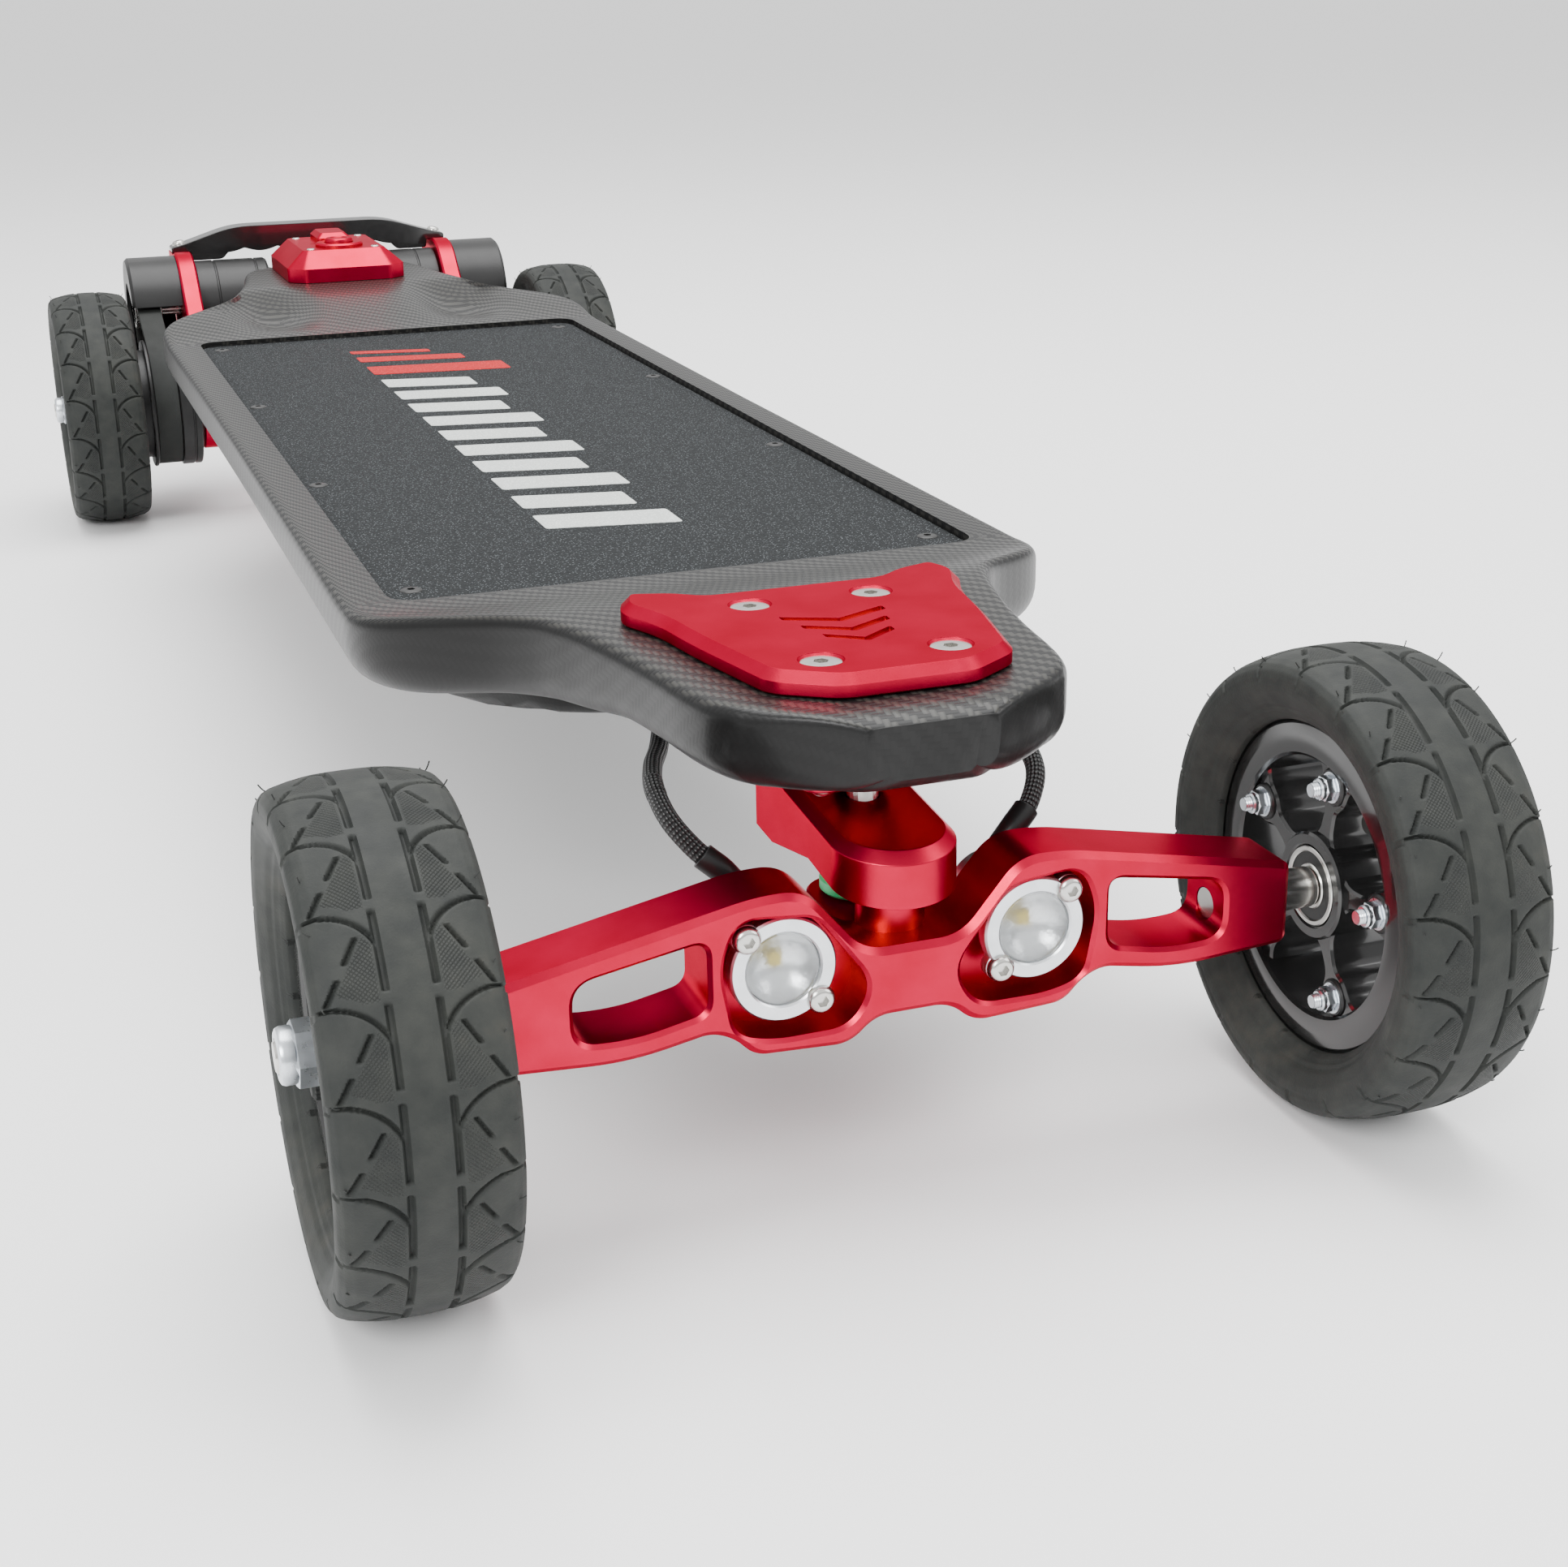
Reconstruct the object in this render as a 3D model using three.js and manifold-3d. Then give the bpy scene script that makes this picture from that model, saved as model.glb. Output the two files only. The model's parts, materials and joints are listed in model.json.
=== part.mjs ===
// Off-road style electric skateboard: a hollow carbon deck on two sprung double-pivot trucks,
// four pneumatic wheels, two belt drives behind the rear truck, headlights in the front hanger
// and a carry handle across the motor mounts.
//
// Millimetres. +Z is up, the floor is z = 0, +X is across the board and +Y runs along it from
// nose to tail. The board is drawn about the middle of its wheelbase and then moved so that the
// origin is under the centre of its bounding box. Every truck is drawn as the front one; the rear
// one is turned half a turn about Z.
import * as THREE from "three";
import { mergeVertices } from "three/addons/utils/BufferGeometryUtils.js";
import Module from "manifold-3d";

const wasm = await Module();
wasm.setup();

// Fit between pieces that touch.
const GAP = 0.3;

// Wheels.
const TYRE_RADIUS = 76.2;
const TYRE_HALF_WIDTH = 25;
const RIM_RADIUS = 53.6;
const RIM_HALF_WIDTH = 16;
const SPOKES = 5;
const HUB_HALF_WIDTH = 15;
const BEARING_RADIUS = 13;
const AXLE_RADIUS = 5;
const NUT_ACROSS_FLATS = 17;
const NUT_LENGTH = 13.2;
const HALF_WHEELBASE = 514.2;
const FRONT_HALF_TRACK = 156.7;
const REAR_HALF_TRACK = 162;

// Deck.
const GRIP_HALF_WIDTH = 112;
const GRIP_FRONT = -320;
const GRIP_REAR = 295;
const GRIP_TOP = 145.4;
const GRIP_THICKNESS = 2.8;
const PLATFORM_TOP = 161;
const PLATFORM_UNDERSIDE = 134.5;
const BELLY_BOTTOM = 90;
const NOSE_BOLT_HALF_WIDTH = 20.35;
const NOSE_BOLT_ROWS = [440.9, 504.4];

// Trucks, with y measured from the middle of the board towards the nose.
const ARM_HALF_WIDTH = 19.5;
const DECK_PIVOT_Y = -482;
const DECK_PIVOT_LEAN = THREE.MathUtils.degToRad(10);
const NOSE_PIVOT_Y = -508;
const NOSE_PIVOT_Z = 104;
const NOSE_PIVOT_LEAN = THREE.MathUtils.degToRad(-5);
const HANGER_THICKNESS = 25;
const FRONT_HANGER_HALF_SPAN = 127;
const SADDLE_Z = 84.4;
const LAMP_X = 40.2;
const LAMP_Z = 82;

// Drive.
const MOTOR_RADIUS = 31.5;
const MOTOR_Y = 580;
const MOTOR_Z = 130;
const MOTOR_INNER_X = 30;
const MOUNT_INNER_X = 85;
const MOUNT_OUTER_X = 97;
const BELT_INNER_X = 112.3;
const BELT_OUTER_X = 127.7;
const WHEEL_PULLEY_RADIUS = 37.6;
const MOTOR_PULLEY_RADIUS = 12.1;
const BELT_THICKNESS = 2.7;
const MOUNT_MOTOR_RADIUS = 38;

// The board reaches further behind the rear axle than in front of the front one.
const REAR_OVERHANG = MOTOR_Y + MOUNT_MOTOR_RADIUS - (HALF_WHEELBASE + TYRE_RADIUS);

const finishes = {
  carbon: { color: 0x1c1d1f, roughness: 0.35, metalness: 0.1 },
  grip: { color: 0x2b3034, roughness: 0.95, metalness: 0 },
  red_aluminium: { color: 0xa80f22, roughness: 0.35, metalness: 0.8 },
  black_aluminium: { color: 0x141416, roughness: 0.4, metalness: 0.6 },
  steel: { color: 0xb8b9b6, roughness: 0.3, metalness: 1 },
  rubber: { color: 0x2a2a29, roughness: 0.85, metalness: 0 },
  urethane: { color: 0x1f9a4d, roughness: 0.45, metalness: 0 },
  lens: { color: 0xdfe3e6, roughness: 0.1, metalness: 0 },
  lamp: { color: 0xc9cccf, roughness: 0.3, metalness: 0.9 },
  braid: { color: 0x161616, roughness: 0.8, metalness: 0 },
  belt: { color: 0x151515, roughness: 0.8, metalness: 0 },
  battery: { color: 0x28435e, roughness: 0.6, metalness: 0 },
  controller: { color: 0x6f7276, roughness: 0.5, metalness: 0.7 },
};

// ---------------------------------------------------------------- geometry helpers

// A triangle soup's signed volume, positive when its faces point out.
function signedVolume(geometry) {
  const p = geometry.attributes.position;
  const index = geometry.index;
  const [a, b, c] = [new THREE.Vector3(), new THREE.Vector3(), new THREE.Vector3()];
  let sum = 0;
  for (let i = 0; i < index.count; i += 3) {
    a.fromBufferAttribute(p, index.getX(i));
    b.fromBufferAttribute(p, index.getX(i + 1));
    c.fromBufferAttribute(p, index.getX(i + 2));
    sum += a.dot(b.cross(c)) / 6;
  }
  return sum;
}

// The geometry as positions and shared vertices only, without the slivers that sharing leaves.
function joined(geometry) {
  const bare = geometry.index ? geometry.toNonIndexed() : geometry.clone();
  bare.deleteAttribute("normal");
  bare.deleteAttribute("uv");
  const merged = mergeVertices(bare, 1e-3);
  const kept = [];
  const index = merged.index.array;
  for (let i = 0; i < index.length; i += 3) {
    const [a, b, c] = index.slice(i, i + 3);
    if (a !== b && b !== c && c !== a) kept.push(a, b, c);
  }
  merged.setIndex(kept);
  return merged;
}

// The same geometry, turned inside out if its faces point in.
function facingOut(geometry) {
  if (signedVolume(geometry) < 0) {
    const index = geometry.index;
    for (let i = 0; i < index.count; i += 3) {
      const kept = index.getX(i + 1);
      index.setX(i + 1, index.getX(i + 2));
      index.setX(i + 2, kept);
    }
  }
  return geometry;
}

function solid(geometry) {
  const closed = facingOut(geometry);
  const triVerts = new Uint32Array(closed.index.array);
  const vertProperties = closed.attributes.position.array;
  return new wasm.Manifold(new wasm.Mesh({ numProp: 3, vertProperties, triVerts }));
}

function geometryOf(body) {
  const mesh = body.getMesh();
  const geometry = new THREE.BufferGeometry();
  const positions = new Float32Array(mesh.vertProperties);
  geometry.setAttribute("position", new THREE.BufferAttribute(positions, 3));
  geometry.setIndex(new THREE.BufferAttribute(new Uint32Array(mesh.triVerts), 1));
  return geometry;
}

// First geometry, with the others joined on and then the cuts taken away.
function build(first, joins = [], cuts = []) {
  let body = solid(first);
  for (const join of joins) {
    body = body.add(solid(join));
  }
  for (const cut of cuts) {
    body = body.subtract(solid(cut));
  }
  return geometryOf(body);
}

// A polygon whose corners [x, y, radius] are rounded with a short curve each.
function rounded(corners, steps = 3) {
  const points = [];
  corners.forEach(([x, y, radius], i) => {
    const corner = new THREE.Vector2(x, y);
    const before = corners[(i + corners.length - 1) % corners.length];
    const after = corners[(i + 1) % corners.length];
    const back = new THREE.Vector2(before[0], before[1]).sub(corner);
    const ahead = new THREE.Vector2(after[0], after[1]).sub(corner);
    if (!radius) {
      points.push(corner);
      return;
    }
    const reach = Math.min(radius, back.length() * 0.48, ahead.length() * 0.48);
    const start = corner.clone().add(back.setLength(reach));
    const end = corner.clone().add(ahead.setLength(reach));
    points.push(...new THREE.QuadraticBezierCurve(start, corner, end).getPoints(steps));
  });
  return points;
}

// The same corners on both sides of the line x = 0, listed from the top middle round +X.
function mirrored(corners) {
  const left = corners.map(([x, y, radius]) => [-x, y, radius]).reverse();
  return [...corners, ...left];
}

const ALONG_X = new THREE.Matrix4().makeBasis(
  new THREE.Vector3(0, 1, 0),
  new THREE.Vector3(0, 0, 1),
  new THREE.Vector3(1, 0, 0),
);
const ALONG_Y = new THREE.Matrix4().makeBasis(
  new THREE.Vector3(1, 0, 0),
  new THREE.Vector3(0, 0, 1),
  new THREE.Vector3(0, -1, 0),
);

// Extrudes an outline from 0 to depth, with a chamfer on both faces that cuts into the outline.
function slab(points, depth, chamfer = 0) {
  const shape = new THREE.Shape(points);
  const options = { depth: depth - 2 * chamfer, bevelEnabled: chamfer > 0, bevelSegments: 1 };
  Object.assign(options, { bevelSize: chamfer, bevelThickness: chamfer, bevelOffset: -chamfer });
  return joined(new THREE.ExtrudeGeometry(shape, options)).translate(0, 0, chamfer);
}

// An outline in (y, z) as a slab between two x planes.
function slabAlongX(points, x0, x1, chamfer = 0) {
  return slab(points, x1 - x0, chamfer).applyMatrix4(ALONG_X).translate(x0, 0, 0);
}

// An outline in (x, z) as a slab between two y planes.
function slabAlongY(points, y0, y1, chamfer = 0) {
  return slab(points, y1 - y0, chamfer).applyMatrix4(ALONG_Y).translate(0, y1, 0);
}

function circle(x, y, radius, segments) {
  return Array.from({ length: segments }, (_, i) => {
    const angle = (2 * Math.PI * i) / segments;
    return new THREE.Vector2(x + radius * Math.cos(angle), y + radius * Math.sin(angle));
  });
}

// A round solid about X through (y, z), from [radius, x] pairs.
function turnedX(profile, segments, y = 0, z = 0) {
  const points = profile.map(([radius, x]) => new THREE.Vector2(radius, x));
  return joined(new THREE.LatheGeometry(points, segments)).rotateZ(-Math.PI / 2).translate(0, y, z);
}

// A round solid about Y through (x, z), from [radius, y] pairs.
function turnedY(profile, segments, x = 0, z = 0) {
  const points = profile.map(([radius, y]) => new THREE.Vector2(radius, y));
  return joined(new THREE.LatheGeometry(points, segments)).translate(x, 0, z);
}

// A round solid about an upright axis that leans by an angle in the YZ plane.
function turnedUp(profile, segments, x, y, z, lean = 0) {
  const points = profile.map(([radius, height]) => new THREE.Vector2(radius, height));
  const geometry = joined(new THREE.LatheGeometry(points, segments));
  return geometry.rotateX(Math.PI / 2 - lean).translate(x, y, z);
}

// A skin over rings of equal length, closed at both ends with a fan from each end's middle.
function loft(rings) {
  const size = rings[0].length;
  const positions = rings.flat().flatMap((point) => point.toArray());
  const index = [];
  for (let r = 0; r + 1 < rings.length; r += 1) {
    for (let i = 0; i < size; i += 1) {
      const [a, b] = [r * size + i, r * size + ((i + 1) % size)];
      index.push(a, b, b + size, a, b + size, a + size);
    }
  }
  for (const [ring, start, forward] of [
    [rings[0], 0, false],
    [rings.at(-1), (rings.length - 1) * size, true],
  ]) {
    const middle = new THREE.Vector3();
    ring.forEach((point) => middle.addScaledVector(point, 1 / size));
    const centre = positions.length / 3;
    positions.push(...middle.toArray());
    for (let i = 0; i < size; i += 1) {
      const [a, b] = [start + i, start + ((i + 1) % size)];
      index.push(...(forward ? [a, b, centre] : [b, a, centre]));
    }
  }
  const geometry = new THREE.BufferGeometry();
  geometry.setAttribute("position", new THREE.Float32BufferAttribute(positions, 3));
  geometry.setIndex(index);
  return geometry;
}

// A flat ring of an outline's points at one height.
function level(points, z) {
  return points.map((point) => new THREE.Vector3(point.x, point.y, z));
}

// The value at t on a line through the stations [t, value].
function along(stations, t) {
  const next = stations.findIndex(([at]) => at >= t);
  if (next <= 0) return stations[next === 0 ? 0 : stations.length - 1][1];
  const [[t0, v0], [t1, v1]] = [stations[next - 1], stations[next]];
  return v0 + ((v1 - v0) * (t - t0)) / (t1 - t0);
}

function piece(name, finish, geometry) {
  const material = new THREE.MeshStandardMaterial(finishes[finish]);
  const mesh = new THREE.Mesh(facingOut(geometry), material);
  mesh.name = name;
  return mesh;
}

function group(...children) {
  const made = new THREE.Group();
  made.add(...children);
  return made;
}

// ---------------------------------------------------------------- deck

// Distances are from the middle of the board, the same towards nose and tail.
const HALF_WIDTHS = [
  [0, 129], [300, 130], [330, 130], [343, 126.5], [352, 121], [362, 112], [372, 101], [383, 90],
  [400, 80], [421, 73], [447, 67], [470, 63], [495, 60], [512, 56], [522, 47], [532, 33],
  [538, 24], [541, 18],
];
const NOSE_TOPS = [
  [0, 148], [322, 148], [343, 150], [362, 153.5], [383, 157.5], [400, 160], [421, PLATFORM_TOP],
  [532, PLATFORM_TOP], [538, 159.5], [541, 157],
];
const TAIL_TOPS = [
  [0, 148], [296, 148], [312, 149.5], [330, 152], [352, 155], [383, 158.5], [421, PLATFORM_TOP],
  [532, PLATFORM_TOP], [538, 159.5], [541, 157],
];
const UNDERSIDES = [
  [0, 118], [330, 118], [352, 121.5], [372, 126], [400, 129], [421, 130.5], [436, 133],
  [447, PLATFORM_UNDERSIDE], [522, PLATFORM_UNDERSIDE], [532, 136], [538, 139], [541, 143],
];
const EDGE_DROPS = [[0, 22], [330, 22], [362, 16], [400, 15], [522, 15], [538, 9], [541, 6]];
const DECK_STATIONS = [
  296, 322, 343, 352, 362, 372, 383, 400, 421, 447, 470, 495, 512, 522, 532, 538, 541,
];

// One cross-section: flat top and bottom, a tight upper edge and a soft lower one.
function deckRing(y) {
  const distance = Math.abs(y);
  const width = along(HALF_WIDTHS, distance);
  const top = along(y < 0 ? NOSE_TOPS : TAIL_TOPS, distance);
  const bottom = along(UNDERSIDES, distance);
  const drop = along(EDGE_DROPS, distance);
  const lip = 4;
  const half = rounded(
    [[width, top, lip], [width, bottom + drop * 0.25, drop], [width - drop, bottom, drop * 0.3]],
    2,
  ).map((point) => new THREE.Vector3(point.x, y, point.y));
  const other = half.map((point) => new THREE.Vector3(-point.x, y, point.z)).reverse();
  return [new THREE.Vector3(0, y, top), ...half, new THREE.Vector3(0, y, bottom), ...other];
}

function boxOutline(x, y0, y1, radius) {
  return rounded([[x, y1, radius], [x, y0, radius], [-x, y0, radius], [-x, y1, radius]]);
}

function deckShell() {
  const ends = [...DECK_STATIONS].reverse();
  const rings = [...ends.map((s) => -s), 0, ...DECK_STATIONS].map(deckRing);
  const belly = loft([
    level(boxOutline(106, -318, 318, 110), 124),
    level(boxOutline(106, -318, 318, 110), 113),
    level(boxOutline(102, -312, 312, 106), 98),
    level(boxOutline(94, -302, 302, 98), BELLY_BOTTOM),
  ]);
  const recess = boxOutline(GRIP_HALF_WIDTH + GAP, GRIP_FRONT - GAP, GRIP_REAR + GAP, 12);
  const recessFloor = GRIP_TOP - GRIP_THICKNESS - GAP;
  const bay = boxOutline(103, -300, 280, 10);
  const well = boxOutline(82, -228, 228, 10);
  const cuts = [
    slab(recess, 20).translate(0, 0, recessFloor),
    slab(bay, 30).translate(0, 0, 123),
    slab(well, 40).translate(0, 0, 94),
  ];
  const boltHole = [[0, 120], [3.4, 120], [3.4, 170], [0, 170]];
  for (const row of NOSE_BOLT_ROWS) {
    for (const side of [-1, 1]) {
      cuts.push(turnedUp(boltHole, 8, side * NOSE_BOLT_HALF_WIDTH, -row, 0));
    }
  }
  return build(loft(rings), [belly], cuts);
}

function gripPanel() {
  const outline = boxOutline(GRIP_HALF_WIDTH, GRIP_FRONT, GRIP_REAR, 12);
  return slab(outline, GRIP_THICKNESS).translate(0, 0, GRIP_TOP - GRIP_THICKNESS);
}

// A winged red plate over the nose, chamfered all round and drilled for four countersunk screws.
function nosePlate() {
  const chamfer = 3;
  const topZ = 168.4;
  const bottomZ = PLATFORM_TOP + GAP;
  const top = mirrored([
    [30, -426, 4], [39.4, -418.6, 3], [51.5, -414.5, 2], [55, -424.5, 4], [48, -442, 6],
    [44.5, -467, 10], [36, -508, 3], [19.5, -519.5, 3],
  ]);
  const shape = new THREE.Shape(rounded(top, 1));
  const height = topZ - bottomZ - 2 * chamfer;
  const options = { depth: height, bevelSegments: 1, bevelSize: chamfer };
  options.bevelThickness = chamfer;
  const plate = joined(new THREE.ExtrudeGeometry(shape, options));
  plate.translate(0, 0, bottomZ + chamfer);
  const cuts = [];
  const sink = [[0, 150], [3.4, 150], [3.4, 164.6], [6.6, topZ - 0.4], [6.6, 175], [0, 175]];
  for (const row of NOSE_BOLT_ROWS) {
    for (const side of [-1, 1]) {
      cuts.push(turnedUp(sink, 10, side * NOSE_BOLT_HALF_WIDTH, -row, 0));
    }
  }
  return build(plate, [], cuts);
}

const BUTTON_Y = 461;
const BUTTON_RADIUS = 9;
const TAIL_BLOCK_TOP = 180.5;

// The red block on the tail, with sloping shoulders and a round seat for the power button.
function tailBlock() {
  const base = rounded([
    [28, 428, 2], [38, 438, 2], [38, 520, 3], [28, 530, 3], [-28, 530, 3], [-38, 520, 3],
    [-38, 438, 2], [-28, 428, 2],
  ], 1);
  const shoulder = 12;
  const [middleY, halfLength, halfWidth] = [479, 51, 38];
  const top = base.map((point) => new THREE.Vector2(
    point.x * (1 - shoulder / halfWidth),
    middleY + (point.y - middleY) * (1 - shoulder / halfLength),
  ));
  const body = loft([level(base, PLATFORM_TOP + GAP), level(base, 170), level(top, TAIL_BLOCK_TOP)]);
  const seatRing = [[0, 170], [15.5, 170], [15.5, 182], [14.5, 183], [0, 183]];
  const bore = [[0, 176], [BUTTON_RADIUS + GAP, 176], [BUTTON_RADIUS + GAP, 190], [0, 190]];
  const spine = loft([
    level(boxOutline(11, 480, 516, 2), 178),
    level(boxOutline(11, 480, 516, 2), 183),
    level(boxOutline(7, 484, 512, 2), 186.5),
  ]);
  return build(
    body,
    [turnedUp(seatRing, 28, 0, BUTTON_Y, 0), spine],
    [turnedUp(bore, 24, 0, BUTTON_Y, 0)],
  );
}

function powerButton() {
  const r = BUTTON_RADIUS;
  return turnedUp([[0, 178.2], [r, 178.2], [r, 184.6], [r - 1.2, 185.8], [0, 185.8]], 24, 0, BUTTON_Y, 0);
}

// ---------------------------------------------------------------- trucks

// The plate under the deck, with a cone that seats the deck pivot.
function baseplate() {
  const outline = boxOutline(29, -515, -452, 8);
  const plate = slab(outline, 3.2).translate(0, 0, PLATFORM_UNDERSIDE - GAP - 3.2);
  const cone = [[0, -12], [9, -12], [13.5, -3], [13.5, 0.2], [0, 0.2]];
  const bore = [[0, -20], [5.3, -20], [5.3, 2.6], [0, 2.6]];
  const cuts = [turnedUp(bore, 16, 0, DECK_PIVOT_Y, 132, DECK_PIVOT_LEAN)];
  for (const side of [-1, 1]) {
    const hole = [[0, 120], [3.4, 120], [3.4, 140], [0, 140]];
    cuts.push(turnedUp(hole, 8, side * NOSE_BOLT_HALF_WIDTH, -NOSE_BOLT_ROWS[1], 0));
  }
  return build(plate, [turnedUp(cone, 20, 0, DECK_PIVOT_Y, 131.5, DECK_PIVOT_LEAN)], cuts);
}

// The pivot bolt that hangs the arm from the baseplate, its head under the arm.
function deckPivotBolt() {
  const profile = [[0, -40.3], [7, -40.3], [7, -36.4], [5, -36.4], [5, 1.2], [0, 1.2]];
  return turnedUp(profile, 20, 0, DECK_PIVOT_Y, 132, DECK_PIVOT_LEAN);
}

// The arm: a bar with a round nose that carries the hanger, chamfered along its upper edge.
function arm() {
  const w = ARM_HALF_WIDTH;
  const noseArc = Array.from({ length: 13 }, (_, i) => {
    const angle = Math.PI + (Math.PI * i) / 12;
    return new THREE.Vector2(w * Math.cos(angle), NOSE_PIVOT_Y + w * Math.sin(angle));
  });
  const plan = [new THREE.Vector2(-w, -440), ...noseArc, new THREE.Vector2(w, -440)];
  const chamfer = 3.2;
  const inner = plan.map((point) => {
    const nose = point.y <= NOSE_PIVOT_Y;
    const x = (point.x * (w - chamfer)) / w;
    const y = nose ? NOSE_PIVOT_Y + ((point.y - NOSE_PIVOT_Y) * (w - chamfer)) / w : point.y;
    return new THREE.Vector2(x, y);
  });
  const rise = Math.tan(-NOSE_PIVOT_LEAN);
  const topAt = (y) => 115.2 + rise * (y - NOSE_PIVOT_Y);
  const bottomAt = (y) => 97.2 + rise * (y - NOSE_PIVOT_Y);
  const tilted = (points, height) =>
    points.map((point) => new THREE.Vector3(point.x, point.y, height(point.y)));
  const blank = loft([
    tilted(plan, () => 86),
    tilted(plan, (y) => topAt(y) - chamfer),
    tilted(inner, topAt),
  ]);
  const noseBack = NOSE_PIVOT_Y + w;
  const under = [
    new THREE.Vector2(-560, 80), new THREE.Vector2(-560, bottomAt(-560)),
    new THREE.Vector2(noseBack, bottomAt(noseBack) + 1.5), new THREE.Vector2(-455, 93.5),
    new THREE.Vector2(-430, 95), new THREE.Vector2(-430, 80),
  ];
  const over = [
    new THREE.Vector2(-466, topAt(-466)), new THREE.Vector2(-466, 140),
    new THREE.Vector2(-430, 140), new THREE.Vector2(-430, topAt(-466) - 11.5),
  ];
  const bore = [[0, -60], [5.3, -60], [5.3, 20], [0, 20]];
  const socket = [[0, -20], [6.3, -20], [6.3, 4], [0, 4]];
  return build(blank, [], [
    slabAlongX(under, -30, 30),
    slabAlongX(over, -30, 30),
    turnedUp(bore, 20, 0, DECK_PIVOT_Y, 132, DECK_PIVOT_LEAN),
    turnedUp(socket, 20, 0, NOSE_PIVOT_Y, NOSE_PIVOT_Z, NOSE_PIVOT_LEAN),
  ]);
}

// The pin between the hanger's neck and the arm's nose.
function nosePivotPin() {
  const profile = [[0, -30], [6, -30], [6, 3.5], [0, 3.5]];
  return turnedUp(profile, 20, 0, NOSE_PIVOT_Y, NOSE_PIVOT_Z, NOSE_PIVOT_LEAN);
}

const HANGER_FRONT = -HALF_WHEELBASE - HANGER_THICKNESS / 2;
const HANGER_BACK = -HALF_WHEELBASE + HANGER_THICKNESS / 2;
const LUG_Y = -480;

// What both hangers share: the neck, the lug behind it, the pin's bore and the axle bores.
function finishHanger(blank, halfSpan, cuts) {
  const neck = [[0, -26], [10, -26], [10, -8.1], [0, -8.1]];
  const root = HANGER_BACK - 4;
  const lug = rounded([[16, root, 0], [16, -466, 14], [-16, -466, 14], [-16, root, 0]], 4);
  const pinBore = [[0, -30 - GAP], [6.3, -30 - GAP], [6.3, 4], [0, 4]];
  const axleBore = [[0, halfSpan - 30], [5.3, halfSpan - 30], [5.3, halfSpan + 5], [0, halfSpan + 5]];
  const joins = [
    turnedUp(neck, 24, 0, NOSE_PIVOT_Y, NOSE_PIVOT_Z, NOSE_PIVOT_LEAN),
    slab(lug, 10).translate(0, 0, SADDLE_Z - 10),
  ];
  cuts.push(turnedUp(pinBore, 20, 0, NOSE_PIVOT_Y, NOSE_PIVOT_Z, NOSE_PIVOT_LEAN));
  cuts.push(turnedX(axleBore, 16, -HALF_WHEELBASE, TYRE_RADIUS));
  cuts.push(turnedX(axleBore.map(([r, x]) => [r, -x]), 16, -HALF_WHEELBASE, TYRE_RADIUS));
  return build(blank, joins, cuts);
}

// The front hanger: a gull-wing bar with a slot in each wing and a pocket for each headlight.
function frontHanger() {
  const span = FRONT_HANGER_HALF_SPAN;
  const outline = rounded(mirrored([
    [15.5, SADDLE_Z, 6], [34, 106.5, 9], [49, 106.5, 10], [span, 91, 0], [span, 63.8, 0],
    [88, 61.3, 12], [63, 66, 5], [56, 63, 5], [50, 56.5, 7], [20, 55, 9], [12, 62.5, 5],
  ]), 2);
  const pocket = rounded([
    [13, 74, 8], [30.5, 98, 5], [55, 100.5, 8], [60, 86, 6], [56, 64, 9], [44, 60.8, 9], [20, 61, 9],
  ], 2);
  const slot = rounded([[64, 73, 5], [64, 95.5, 5], [104, 88.5, 6], [104, 69.5, 6], [86, 68.5, 9]], 2);
  const flip = (points) => points.map((point) => new THREE.Vector2(-point.x, point.y)).reverse();
  const blank = slabAlongY(outline, HANGER_FRONT, HANGER_BACK, 2);
  const pocketFloor = HANGER_FRONT + 14;
  const cuts = [];
  for (const turn of [(points) => points, flip]) {
    cuts.push(slabAlongY(turn(pocket), HANGER_FRONT - 5, pocketFloor));
    cuts.push(slabAlongY(turn(slot), HANGER_FRONT - 5, HANGER_BACK + 5));
  }
  for (const side of [-1, 1]) {
    const hole = [[0, HANGER_FRONT], [13.3, HANGER_FRONT], [13.3, HANGER_BACK + 5], [0, HANGER_BACK + 5]];
    cuts.push(turnedY(hole, 20, side * LAMP_X, LAMP_Z));
  }
  return finishHanger(blank, span, cuts);
}

// The rear hanger: the same bar without lights or slots, ending at the motor mounts.
function rearHanger() {
  const span = MOUNT_INNER_X - GAP;
  const outline = rounded(mirrored([
    [15.5, SADDLE_Z, 6], [32, 103, 9], [49, 103, 10], [span, 95, 0], [span, 57, 0],
    [50, 55, 7], [20, 55, 9], [12, 62.5, 5],
  ]), 2);
  const blank = slabAlongY(outline, HANGER_FRONT, HANGER_BACK, 2);
  return finishHanger(blank, span, []);
}

function bushing() {
  return turnedUp([[0, 0.3], [12, 0.3], [12, 5], [0, 5]], 20, 0, LUG_Y, SADDLE_Z);
}

// Headlight housing: a flanged can with two lugs for its screws and a seat for the lens.
function headlight(side) {
  const [flange, front] = [16.4, HANGER_FRONT + 2.5];
  const back = HANGER_BACK + 15;
  const can = [
    [0, front + 3], [11.6, front + 3], [11.6, front], [flange, front], [flange, front + 5],
    [13, front + 5], [13, back], [0, back],
  ];
  const lug = [[0, front + 0.6], [4.4, front + 0.6], [4.4, front + 5], [0, front + 5]];
  const lugs = [-11.2, 11.2].map((offset) =>
    turnedY(lug, 10, side * (LAMP_X + offset), LAMP_Z + offset));
  return build(turnedY(can, 20, side * LAMP_X, LAMP_Z), lugs);
}

function headlightLens(side) {
  const front = HANGER_FRONT + 2.5;
  const disc = [[0, front + 0.6], [11.3, front + 0.6], [11.3, front + 2.7], [0, front + 2.7]];
  return turnedY(disc, 20, side * LAMP_X, LAMP_Z);
}

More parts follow.
